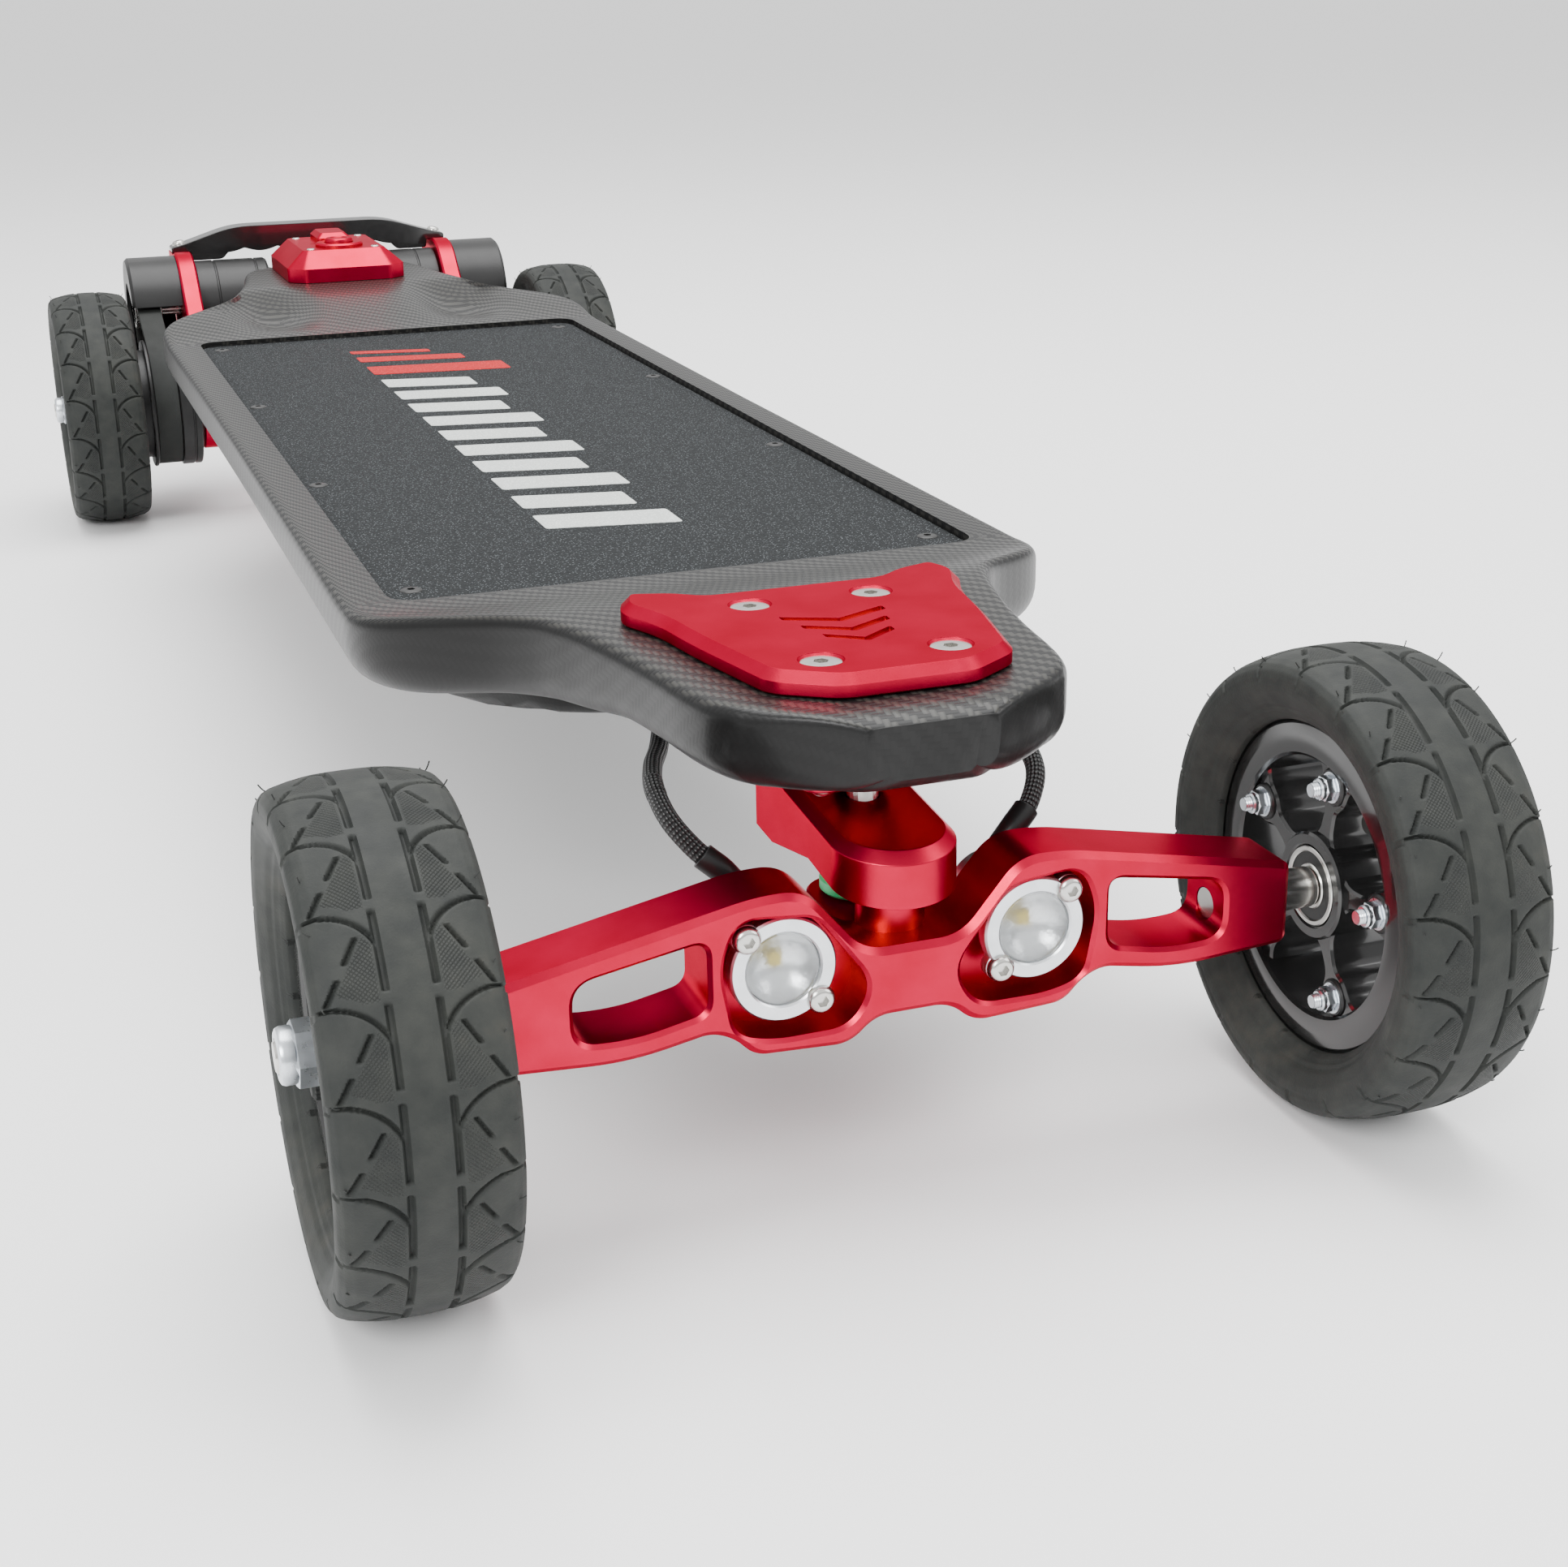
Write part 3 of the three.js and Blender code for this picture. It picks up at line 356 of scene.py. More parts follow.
def lamp_bowl():
    surface = Surface("lamp_bowl", (0.85, 0.87, 0.89), 0.18, 0.95)
    dimples = surface.cells(700)
    surface.colour(dimples, [(0.0, grey(0.9)), (0.6, grey(0.74))])
    surface.bump(dimples, 0.0004, 0.2)
    return surface.material


def braid():
    """A sleeve of crossing strands, laid out along the attribute weave: turns, then strand lengths."""
    surface = Surface("braid_sleeve", grey(0.02), 0.55)
    split = surface.node("ShaderNodeSeparateXYZ")
    surface.link(surface.coordinates("weave"), split.inputs[0])
    strands = []
    for direction in (1.0, -1.0):
        lean = surface.maths("MULTIPLY", split.outputs["Y"], direction)
        phase = surface.maths("ADD", split.outputs["X"], lean)
        strands.append(surface.maths("SINE", surface.maths("MULTIPLY", phase, math.pi * 2)))
    height = surface.maths("MULTIPLY", strands[0], strands[1])
    surface.colour(height, [(0.0, grey(0.005)), (0.5, grey(0.015)), (0.9, grey(0.14))])
    surface.bump(height, 0.0006, 0.9)
    return surface.material


MATERIALS = {
    "red_aluminium": anodised("red_anodised", (0.40, 0.004, 0.028), (0.50, 0.008, 0.045), 0.32),
    "black_aluminium": mottled(
        "black_anodised", grey(0.01), 0.36, (40, 4, [(0.2, grey(0.006)), (0.8, grey(0.014))]),
        (900, 3, 0.3, 0.46), (2200, 2, 0.00003, 0.4), specular_ior_level=0.36,
    ),
    "steel": steel("bright_steel", (0.66, 0.65, 0.62), 0.24),
    "zinc": steel("zinc_plate", (0.70, 0.74, 0.78), 0.28),
    "lamp": steel("satin_silver", (0.80, 0.83, 0.86), 0.3),
    "tyre": tread_rubber(),
    "rubber": rubber("smooth_rubber"),
    "belt": rubber("belt_rubber"),
    "carbon": carbon(),
    "gloss_black": mottled(
        "gloss_black", grey(0.012), 0.16, (30, 4, [(0.2, grey(0.008)), (0.8, grey(0.018))]),
        (240, 4, 0.1, 0.24), (1800, 2, 0.00002, 0.3), 0.3, coat_weight=0.5, coat_roughness=0.08,
    ),
    "grip": grit("grip_sheet", (0.006, 0.0075, 0.0085), (0.026, 0.03, 0.033), (0.2, 0.22, 0.23)),
    "print_white": grit("white_print", (0.55, 0.58, 0.56), (0.74, 0.76, 0.73), (0.9, 0.92, 0.9)),
    "print_red": grit("red_print", (0.42, 0.008, 0.012), (0.62, 0.015, 0.02), (0.8, 0.12, 0.12)),
    "urethane": urethane(),
    "lens": lens_optic(),
    "bowl": lamp_bowl(),
    "chip": shrink_wrap("led_chip", (0.75, 0.55, 0.08), (0.85, 0.7, 0.2)),
    "braid": braid(),
    "battery": shrink_wrap("battery_wrap", (0.02, 0.06, 0.13), (0.03, 0.09, 0.19)),
    "controller": steel("controller_case", (0.4, 0.41, 0.43), 0.45),
}


# ---------------------------------------------------------------- outlines

def rounded(corners, steps=7):
    """A polygon whose corners (x, y, radius) are rounded with a short curve each."""
    points = []
    for i, (x, y, radius) in enumerate(corners):
        corner = Vector((x, y))
        back = Vector(corners[i - 1][:2]) - corner
        ahead = Vector(corners[(i + 1) % len(corners)][:2]) - corner
        if not radius:
            points.append(corner)
            continue
        reach = min(radius, back.length * 0.48, ahead.length * 0.48)
        start = corner + back.normalized() * reach
        end = corner + ahead.normalized() * reach
        for step in range(steps + 1):
            t = step / steps
            points.append(start * (1 - t) ** 2 + corner * 2 * t * (1 - t) + end * t * t)
    return points


def mirrored(corners):
    return corners + [(-x, y, radius) for x, y, radius in reversed(corners)]


def flipped(points):
    return [Vector((-p.x, p.y)) for p in reversed(points)]


def box_outline(half_width, y0, y1, radius, steps=7):
    corners = ((half_width, y1), (half_width, y0), (-half_width, y0), (-half_width, y1))
    return rounded([(x, y, radius) for x, y in corners], steps)


def circle(x, y, radius, segments=48):
    turns = [2 * math.pi * i / segments for i in range(segments)]
    return [Vector((x + radius * math.cos(a), y + radius * math.sin(a))) for a in turns]


def grown(points, distance):
    """The outline moved outwards by a distance, or inwards if it is negative."""
    count = len(points)
    area = sum(points[i - 1].x * points[i].y - points[i].x * points[i - 1].y for i in range(count))
    sign = 1 if area > 0 else -1
    made = []
    for i, point in enumerate(points):
        back = (point - points[i - 1]).normalized()
        ahead = (points[(i + 1) % count] - point).normalized()
        normal = Vector((back.y + ahead.y, -back.x - ahead.x))
        if normal.length < 1e-6:
            normal = Vector((back.y, -back.x))
        normal.normalize()
        lean = max(0.45, normal.dot(Vector((back.y, -back.x))))
        made.append(point + normal * sign * distance / lean)
    return made


# ---------------------------------------------------------------- meshes

def lofted(rings):
    """Vertices and faces of a skin over rings of equal length, with flat ends."""
    size = len(rings[0])
    vertices = [tuple(point) for ring in rings for point in ring]
    faces = []
    count = len(rings)
    for r in range(count - 1):
        low, high = r * size, (r + 1) * size
        for i in range(size):
            j = (i + 1) % size
            faces.append((low + i, low + j, high + j, high + i))
    faces.append(tuple(range(size)))
    faces.append(tuple(range((count - 1) * size, count * size)))
    return vertices, faces


def along_axis(axis, points, at):
    """Outline points in the plane across an axis, as 3-D points at one place along it."""
    if axis == "x":
        return [(at, p.x, p.y) for p in points]
    if axis == "y":
        return [(p.x, at, p.y) for p in points]
    return [(p.x, p.y, at) for p in points]


def prism(points, axis, low, high, chamfer=0.0, far_chamfer=None):
    """An extruded outline, with a chamfer that cuts into it at each end."""
    far = chamfer if far_chamfer is None else far_chamfer
    rings = []
    if chamfer:
        rings.append(along_axis(axis, grown(points, -chamfer), low))
    rings.append(along_axis(axis, points, low + chamfer))
    rings.append(along_axis(axis, points, high - far))
    if far:
        rings.append(along_axis(axis, grown(points, -far), high))
    return lofted(rings)


def opening(points, axis, low, high, chamfer=1.2):
    """A cutter for a hole right through a slab, flared by a chamfer at both faces."""
    spare = 1.0
    return lofted([
        along_axis(axis, grown(points, chamfer + spare), low - spare),
        along_axis(axis, points, low + chamfer),
        along_axis(axis, points, high - chamfer),
        along_axis(axis, grown(points, chamfer + spare), high + spare),
    ])


def turned(profile, axis="x", centre=(0, 0, 0), segments=64, lean=0.0):
    """A turned solid from (radius, place) pairs. It closes on itself if its ends are the same."""
    loop = tuple(profile[0]) == tuple(profile[-1])
    pairs = profile[:-1] if loop else profile
    vertices, rings = [], []
    for radius, place in pairs:
        if radius < 1e-6:
            rings.append([len(vertices)])
            vertices.append((0.0, 0.0, place))
            continue
        rings.append(range(len(vertices), len(vertices) + segments))
        for i in range(segments):
            angle = 2 * math.pi * i / segments
            vertices.append((radius * math.cos(angle), radius * math.sin(angle), place))
    faces = []
    pairs_of_rings = list(zip(rings, rings[1:])) + ([(rings[-1], rings[0])] if loop else [])
    for low, high in pairs_of_rings:
        for i in range(segments):
            j = (i + 1) % segments
            corners = [low[i % len(low)], low[j % len(low)], high[j % len(high)], high[i % len(high)]]
            faces.append(tuple(dict.fromkeys(corners)))
    faces = [face for face in faces if len(face) > 2]
    if axis == "x":
        turn = Matrix.Rotation(math.pi / 2, 3, "Y")
    elif axis == "y":
        turn = Matrix.Rotation(-math.pi / 2, 3, "X")
    else:
        turn = Matrix.Rotation(-lean, 3, "X")
    moved = [tuple(turn @ Vector(v) + Vector(centre)) for v in vertices]
    return moved, faces


def rod(radius, low, high, axis="x", centre=(0, 0, 0), segments=64, lean=0.0):
    """A plain cylinder along an axis."""
    profile = [(0, low), (radius, low), (radius, high), (0, high)]
    return turned(profile, axis, centre, segments, lean)


def merged(*parts):
    """Several vertex and face lists as one."""
    vertices, faces = [], []
    for part_vertices, part_faces in parts:
        start = len(vertices)
        vertices += list(part_vertices)
        faces += [tuple(start + i for i in face) for face in part_faces]
    return vertices, faces


def shaded(mesh, angle=32.0):
    mesh.shade_smooth()
    mesh.set_sharp_from_angle(angle=math.radians(angle))


def flat_faced(piece):
    """Keeps broad faces flat to the eye beside their narrow bevels."""
    normals = piece.modifiers.new("normals", "WEIGHTED_NORMAL")
    normals.keep_sharp = True
    normals.weight = 80


def raw(name, shape, half_turn=False):
    """An object in the row frame from a shape in board millimetres."""
    vertices, faces = shape
    sign = -1 if half_turn else 1
    placed = [(sign * x * MM, sign * y * MM + MIDDLE_Y, z * MM) for x, y, z in vertices]
    mesh = bpy.data.meshes.new(name)
    mesh.from_pydata(placed, [], faces)
    work = bmesh.new()
    work.from_mesh(mesh)
    bmesh.ops.remove_doubles(work, verts=work.verts, dist=1e-7)
    bmesh.ops.recalc_face_normals(work, faces=work.faces)
    work.to_mesh(mesh)
    work.free()
    made = bpy.data.objects.new(name, mesh)
    bpy.context.scene.collection.objects.link(made)
    return made


def settled(piece):
    """Applies the modifiers of a piece to its mesh."""
    bpy.context.view_layer.update()
    evaluated = piece.evaluated_get(bpy.context.evaluated_depsgraph_get())
    mesh = bpy.data.meshes.new_from_object(evaluated)
    piece.modifiers.clear()
    piece.data = mesh
    return piece


def combined(piece, helpers, operation):
    """Joins the helpers to a piece, or cuts them out of it, and removes them."""
    for helper in helpers:
        modifier = piece.modifiers.new("combine", "BOOLEAN")
        modifier.operation = operation
        modifier.solver = "EXACT"
        modifier.object = helper
    settled(piece)
    for helper in helpers:
        bpy.data.objects.remove(helper)
    return piece


def bevelled(piece, width):
    modifier = piece.modifiers.new("bevel", "BEVEL")
    modifier.width = width * MM
    modifier.segments = 3
    modifier.limit_method = "ANGLE"
    modifier.angle_limit = math.radians(34)
    return settled(piece)


def make(
    name, shape, body, slot, material=None, cuts=(), joins=(), bevel=0.0, replaces=(), half_turn=False
):
    """A finished piece: its shape, its cuts, its bevel, its material and the body that it rides on."""
    piece = raw(name, shape, half_turn)
    if joins:
        combined(piece, [raw("helper", shape, half_turn) for shape in joins], "UNION")
    if cuts:
        combined(piece, [raw("helper", shape, half_turn) for shape in cuts], "DIFFERENCE")
    if bevel:
        bevelled(piece, bevel)
    piece.data.materials.clear()
    piece.data.materials.append(MATERIALS[material or slot])
    shaded(piece.data)
    flat_faced(piece)
    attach(piece, body)
    if replaces:
        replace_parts(piece, *replaces)
    return piece


DENSE = 20000


def copy_of(source, name, place, turn, body):
    """Another piece with the same mesh, whose own origin goes to a place in the row frame."""
    piece = bpy.data.objects.new(name, source)
    bpy.context.scene.collection.objects.link(piece)
    piece.matrix_world = Matrix.Translation(place) @ turn
    if len(source.polygons) < DENSE:
        flat_faced(piece)
    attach(piece, body)
    return piece


def row_point(x, y, z):
    """A place in board millimetres, in metres in the row frame."""
    return Vector((x * MM, y * MM + MIDDLE_Y, z * MM))


def pattern(name, shape, material, cuts=()):
    """A mesh about its own origin, for copy_of."""
    piece = make_loose(name, shape)
    if cuts:
        combined(piece, [make_loose("helper", cut) for cut in cuts], "DIFFERENCE")
    mesh = piece.data
    mesh.materials.clear()
    mesh.materials.append(MATERIALS[material])
    shaded(mesh)
    bpy.data.objects.remove(piece)
    return mesh


def make_loose(name, shape):
    """An object whose shape is about its own origin."""
    made = raw(name, shape)
    made.data.transform(Matrix.Translation(-SHIFT))
    return made


# ---------------------------------------------------------------- deck

HALF_WIDTHS = [
    (0, 129), (300, 130), (330, 130), (343, 126.5), (352, 121), (362, 112), (372, 101), (383, 90),
    (400, 80), (421, 73), (447, 67), (470, 63), (495, 60), (512, 56), (522, 47), (532, 33),
    (538, 24), (541, 18),
]
NOSE_TOPS = [
    (0, 148), (322, 148), (343, 150), (362, 153.5), (383, 157.5), (400, 160), (421, 161),
    (532, 161), (538, 159.5), (541, 157),
]
TAIL_TOPS = [
    (0, 148), (296, 148), (312, 149.5), (330, 152), (352, 155), (383, 158.5), (421, 161),
    (532, 161), (538, 159.5), (541, 157),
]
UNDERSIDES = [
    (0, 118), (330, 118), (352, 121.5), (372, 126), (400, 129), (421, 130.5), (436, 133),
    (447, 134.5), (522, 134.5), (532, 136), (538, 139), (541, 143),
]
EDGE_DROPS = [(0, 22), (330, 22), (362, 16), (400, 15), (522, 15), (538, 9), (541, 6)]
BELLY = 28.0
BELLY_RADIUS = 108
BELLY_STRAIGHT = 211
BELLY_SLOPE = 19
SCOOP_X, SCOOP_HALF_WIDTH = 58, 34
SCOOP_Y, SCOOP_HALF_LENGTH = 364, 60
SCOOP_DEPTH = 10
END_FROM_MIDDLE = 0.517
END_SMOOTHINGS = 14


def eased(stations, blur=7.0):
    """A table of (place, value) as a function, smoothed over a short distance."""
    places = np.arange(0, 541.5, 0.5)
    values = np.interp(places, [s[0] for s in stations], [s[1] for s in stations])
    reach = np.arange(-3 * blur, 3 * blur + 0.5, 0.5)
    kernel = np.exp(-(reach / blur) ** 2)
    kernel /= kernel.sum()
    padded = np.pad(values, len(reach) // 2, mode="edge")
    smooth = np.convolve(padded, kernel, mode="valid")
    fade = np.clip((532 - places) / 20, 0, 1)
    blended = smooth * fade + values * (1 - fade)
    return lambda at: float(np.interp(at, places, blended))


def bump_shape(t):
    """One at t = 0, falling smoothly to nothing at t = 1 and beyond."""
    t = min(1.0, abs(t))
    return (1 - t * t) ** 2


def deck_rings():
    """Cross-sections of the deck from nose to tail, each from the middle of the top round the edge."""
    width_at, drop_at, under_at = eased(HALF_WIDTHS), eased(EDGE_DROPS), eased(UNDERSIDES)
    tops = {-1: eased(NOSE_TOPS), 1: eased(TAIL_TOPS)}
    fine = list(np.arange(290, 500, 3.0)) + list(np.arange(500, 541, 1.5)) + [541.0]
    ends = list(np.arange(0, 290, 10.0)) + fine
    places = sorted({-y for y in ends} | set(ends))
    rings = []
    for y in places:
        distance = abs(y)
        width, drop = width_at(distance), drop_at(distance)
        top, under = tops[1 if y > 0 else -1](distance), under_at(distance)
        half = [Vector((width * i / 16, top)) for i in range(1, 14)]
        edge = rounded(
            [
                (width * 0.8, top, 0), (width, top, 5.5), (width, under + drop * 0.3, drop),
                (width - drop * 1.1, under, drop * 0.5)
            ],
            7
        )
        half += edge[1:]
        inner = half[-1].x
        half += [Vector((inner * (1 - i / 18), under)) for i in range(1, 18)]
        ring = [(0, y, top)] + [(p.x, y, p.y) for p in half] + [(0, y, under)]
        ring += [(-p.x, y, p.y) for p in reversed(half)]
        rings.append(ring)
    return rings


def sculpted(rings):
    """Adds the belly's bulge and the two scoops before the tail block."""
    made = []
    for ring in rings:
        moved = []
        for i, (x, y, z) in enumerate(ring):
            top_side = i <= 14 or i >= len(ring) - 14
            if top_side and y > 0:
                scoop = bump_shape((abs(x) - SCOOP_X) / SCOOP_HALF_WIDTH)
                scoop *= bump_shape((y - SCOOP_Y) / SCOOP_HALF_LENGTH)
                z -= SCOOP_DEPTH * scoop
            if not top_side:
                reach = math.hypot(x, max(0.0, abs(y) - BELLY_STRAIGHT))
                level = min(1.0, max(0.0, (BELLY_RADIUS + 2 - reach) / BELLY_SLOPE))
                ease = math.sin(level * math.pi / 2) ** 1.4
                if z < 124:
                    z -= BELLY * ease
            moved.append((x, y, z))
        made.append(moved)
    return made


def unrolled(piece, top):
    """Cloth coordinates in metres: the plan, with each flank laid out flat beyond its top edge, and as
    third coordinate how steep the surface is, which the carbon uses for painted shade on the flanks.
    """
    woven = []
    for vertex in piece.data.vertices:
        across = vertex.normal.to_2d()
        drop = max(0.0, top - vertex.co.z)
        place = vertex.co.to_2d() + across / max(0.35, across.length) * drop
        # painted shade mask: up to 0.8 where the surface is steep, darkening the carbon on the flanks
        steep = max(0.0, min(1.0, (0.85 - vertex.normal.z) / 0.5))
        woven += [place.x, place.y, 0.8 * steep]
    return woven


def smooth_ends(piece):
    """Rounds off the facets where the nose and the tail close."""
    work = bmesh.new()
    work.from_mesh(piece.data)
    ends = [v for v in work.verts if abs(v.co.y - MIDDLE_Y) > END_FROM_MIDDLE]
    for _ in range(END_SMOOTHINGS):
        bmesh.ops.smooth_vert(
            work, verts=ends, factor=0.5, use_axis_x=True, use_axis_y=True, use_axis_z=True
        )
    work.to_mesh(piece.data)
    work.free()


def make_deck():
    piece = raw("carbon_deck", lofted(sculpted(deck_rings())))
    smooth_ends(piece)
    recess = prism(box_outline(112.3, -320.3, 295.3, 12), "z", 142.3, 175)
    combined(piece, [raw("helper", recess)], "DIFFERENCE")
    attribute = piece.data.attributes.new("weave", "FLOAT_VECTOR", "POINT")
    attribute.data.foreach_set("vector", unrolled(piece, 0.161))
    piece.data.materials.append(MATERIALS["carbon"])
    shaded(piece.data, 38)
    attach(piece, "deck")
    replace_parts(piece, "deck_shell")


def printed_bar(start, reach, depth):
    """A slanting bar on the grip sheet, from its left end at y = start + 10."""
    left, right = -33, reach - 33
    low, high = 145.35, 145.6
    corners = [
        (left, start + 10, 2), (right, start, 2), (right, start + depth, 2), (left, start + depth + 10, 2),
    ]
    return prism(rounded(corners, 4), "z", low, high)


def make_grip():
    make(
        "grip_sheet", prism(box_outline(112, -320, 295, 12), "z", 142.6, 145.4, 0, 0.8), "deck", "grip",
        replaces=["grip_panel"]
    )
    white = [printed_bar(-236 + 38 * i, 46 if i % 2 else 54, 24) for i in range(10)]
    red = [printed_bar(*bar) for bar in ((148, 74, 26), (192, 58, 16), (222, 44, 9))]
    make("grip_bars_white", merged(*white), "deck", "grip", "print_white")
    make("grip_bars_red", merged(*red), "deck", "grip", "print_red")
    screw = screw_mesh("flat_screw", 4.2, 0.8, 1.6, "black_aluminium")
    for i, (x, y) in enumerate(((101, -297.5), (105, -108.7), (105, 88), (101, 278))):
        for label, side in SIDES:
            name = f"grip_screw_{i}_{label}"
            copy_of(screw, name, row_point(side * x, y, 145.3), UPRIGHT, "deck")


def screw_mesh(name, radius, dome, socket, material="steel"):
    """A socket screw head standing on z = 0, with a hexagon hole."""
    profile = [(0, -4), (radius * 0.8, -4), (radius, 0)]
    steps = 6
    for i in range(1, steps + 1):
        angle = math.pi / 2 * i / steps
        profile.append((radius * (0.55 + 0.45 * math.cos(angle)), dome * math.sin(angle)))
    profile.append((0, dome))
    hexagon = circle(0, 0, socket, 6)
    return pattern(
        name, turned(profile, "z", segments=40), material,
        cuts=[prism(hexagon, "z", dome - 1.6, dome + 3)]
    )


# ---------------------------------------------------------------- nose and tail plates

BOLT_X = 20.35
BOLT_ROWS = (-440.9, -504.4)


def make_nose_plate():
    outline = rounded(mirrored([
        (30, -426, 5), (39.4, -418.6, 4), (51.5, -414.5, 2), (55, -424.5, 5), (48, -442, 9),
        (44.5, -467, 14), (36, -508, 4), (19.5, -519.5, 4),
    ]), 6)
    full = grown(outline, 3)
    sunk = [(0, 150), (3.4, 150), (3.4, 164.6), (7.0, 168.2), (7.0, 175), (0, 175)]
    cuts = [turned(sunk, "z", (s * BOLT_X, y, 0), 40) for y in BOLT_ROWS for s in (-1, 1)]
    for y, reach in ((-462, 17), (-473, 14), (-484, 11)):
        chevron = [
            (-reach, y, 0.6), (0, y - 8, 0.6), (reach, y, 0.6), (reach, y + 4, 0.6), (0, y - 4, 0.6),
            (-reach, y + 4, 0.6)
        ]
        cuts.append(prism(rounded(chevron, 3), "z", 167.2, 172))
    make(
        "red_nose_plate", prism(full, "z", 161.3, 168.4, 0.6, 3.0), "deck", "red_aluminium", cuts=cuts,
        bevel=0.35, replaces=["nose_plate"]
    )
    head = screw_mesh("countersunk_screw", 6.3, 0.35, 2.4)
    thread = pattern("screw_thread", threaded(3.0, -24, -1), "steel")
    for row, y in enumerate(BOLT_ROWS):
        for label, side in SIDES:
            name = f"nose_screw_{row}_{label}"
            copy_of(head, name, row_point(side * BOLT_X, y, 167.6), UPRIGHT, "deck")
            copy_of(thread, name + "_end", row_point(side * BOLT_X, y, 151), UPRIGHT, "deck")


def threaded(radius, low, high, pitch=1.0):
    """A rod with ridges that read as a thread, from low to high."""
    profile = [(0, low), (radius * 0.8, low)]
    place = low
    while place + pitch < high:
        profile += [(radius, place + pitch * 0.5), (radius * 0.86, place + pitch)]
        place += pitch
    profile += [(radius * 0.86, high), (0, high)]
    return turned(profile, "z", segments=24)


def make_tail():
    corners = [Vector(place) for place in ((28, 428), (38, 438), (38, 520), (28, 530))]
    corners += flipped(corners)

    def ring(inset, radius):
        return rounded([(p.x, p.y, radius) for p in grown(corners, -inset)], 5)

    levels = ((0, 3, 161.3), (0, 3, 170), (11.5, 1.2, 180.5))
    body = lofted([along_axis("z", ring(inset, radius), z) for inset, radius, z in levels])
    collar = turned([(0, 170), (15.5, 170), (15.5, 182), (14.3, 183), (0, 183)], "z", (0, 461, 0), 64)
    levels = ((11, 480, 516, 176), (11, 480, 516, 183.4), (8, 483.5, 512.5, 186.4))
    spine = lofted([along_axis("z", box_outline(half, y0, y1, 3), z) for half, y0, y1, z in levels])
    bore = turned(
        [(0, 176), (9.3, 176), (9.3, 182), (10.2, 184), (10.2, 190), (0, 190)], "z", (0, 461, 0), 64
    )
    grooves = [prism(box_outline(17, 476.2, 477.4, 0.3, 2), "z", 179.9, 190)]
    make(
        "red_tail_block", body, "deck", "red_aluminium", joins=[collar, spine], cuts=[bore, *grooves],
        bevel=0.5, replaces=["tail_block"]
    )
    cap = [
        (0, 178.2), (9, 178.2), (9, 184.4), (8.6, 185.2), (7.8, 185.7), (5.5, 185.7), (5, 185.3),
        (0, 185.1)
    ]
    make(
        "red_power_button", turned(cap, "z", (0, 461, 0), 64), "power_button", "red_aluminium",
        replaces=["power_button"]
    )
    head = screw_mesh("small_screw", 2.6, 0.9, 1.2)
    for i, (x, y) in enumerate(((-21, 446), (21, 446), (-21, 512), (21, 512))):
        copy_of(head, f"tail_screw_{i}", row_point(x, y, 180.4), UPRIGHT, "deck")


# ---------------------------------------------------------------- trucks

ARM_HALF_WIDTH = 19.5
NOSE_PIVOT = (0, -508, 104)
NOSE_LEAN = math.radians(-5)
DECK_PIVOT = (0, -482, 132)
DECK_LEAN = math.radians(10)
HANGER_FRONT = -HALF_WHEELBASE - 12.5
HANGER_BACK = -HALF_WHEELBASE + 12.5
SADDLE_Z = 84.4
LAMP_X, LAMP_Z = 40.2, 82.0


def arm_shape():
    """The front arm between its two pivots, and the cuts under it, over it and through it."""
    w, chamfer, count = ARM_HALF_WIDTH, 3.4, 48
    arc = [math.pi + math.pi * i / count for i in range(count + 1)]
    ahead = [Vector((w * math.cos(a), NOSE_PIVOT[1] + w * math.sin(a))) for a in arc]
    plan = [Vector((-w, -440))] + ahead + [Vector((w, -440))]
    ratio = (w - chamfer) / w
    inner = [
        Vector(
            (p.x * ratio, NOSE_PIVOT[1] + (p.y - NOSE_PIVOT[1]) * ratio if p.y <= NOSE_PIVOT[1] else p.y)
        ) for p in plan
    ]
    rise = math.tan(-NOSE_LEAN)

    def top_at(y):
        return 115.2 + rise * (y - NOSE_PIVOT[1])

    blank = lofted([
        [(p.x, p.y, 86) for p in plan],
        [(p.x, p.y, top_at(p.y) - chamfer) for p in plan],
        [(p.x, p.y, top_at(p.y)) for p in inner],
    ])

    def bottom_at(y):
        return 97.2 + rise * (y - NOSE_PIVOT[1])

    back = NOSE_PIVOT[1] + w
    under = [
        Vector(p)
        for p in (
            (-560, 80), (-560, bottom_at(-560)), (back, bottom_at(back) + 1.5), (-455, 93.5),
            (-430, 95), (-430, 80)
        )
    ]
    over = [
        Vector(p) for p in ((-466, top_at(-466)), (-466, 140), (-430, 140), (-430, top_at(-466) - 11.5))
    ]
    cuts = [
        prism(under, "x", -30, 30),
        prism(over, "x", -30, 30),
        rod(5.3, -60, 20, "z", DECK_PIVOT, 32, DECK_LEAN),
        rod(6.3, -20, 4, "z", NOSE_PIVOT, 32, NOSE_LEAN),
    ]
    return blank, cuts


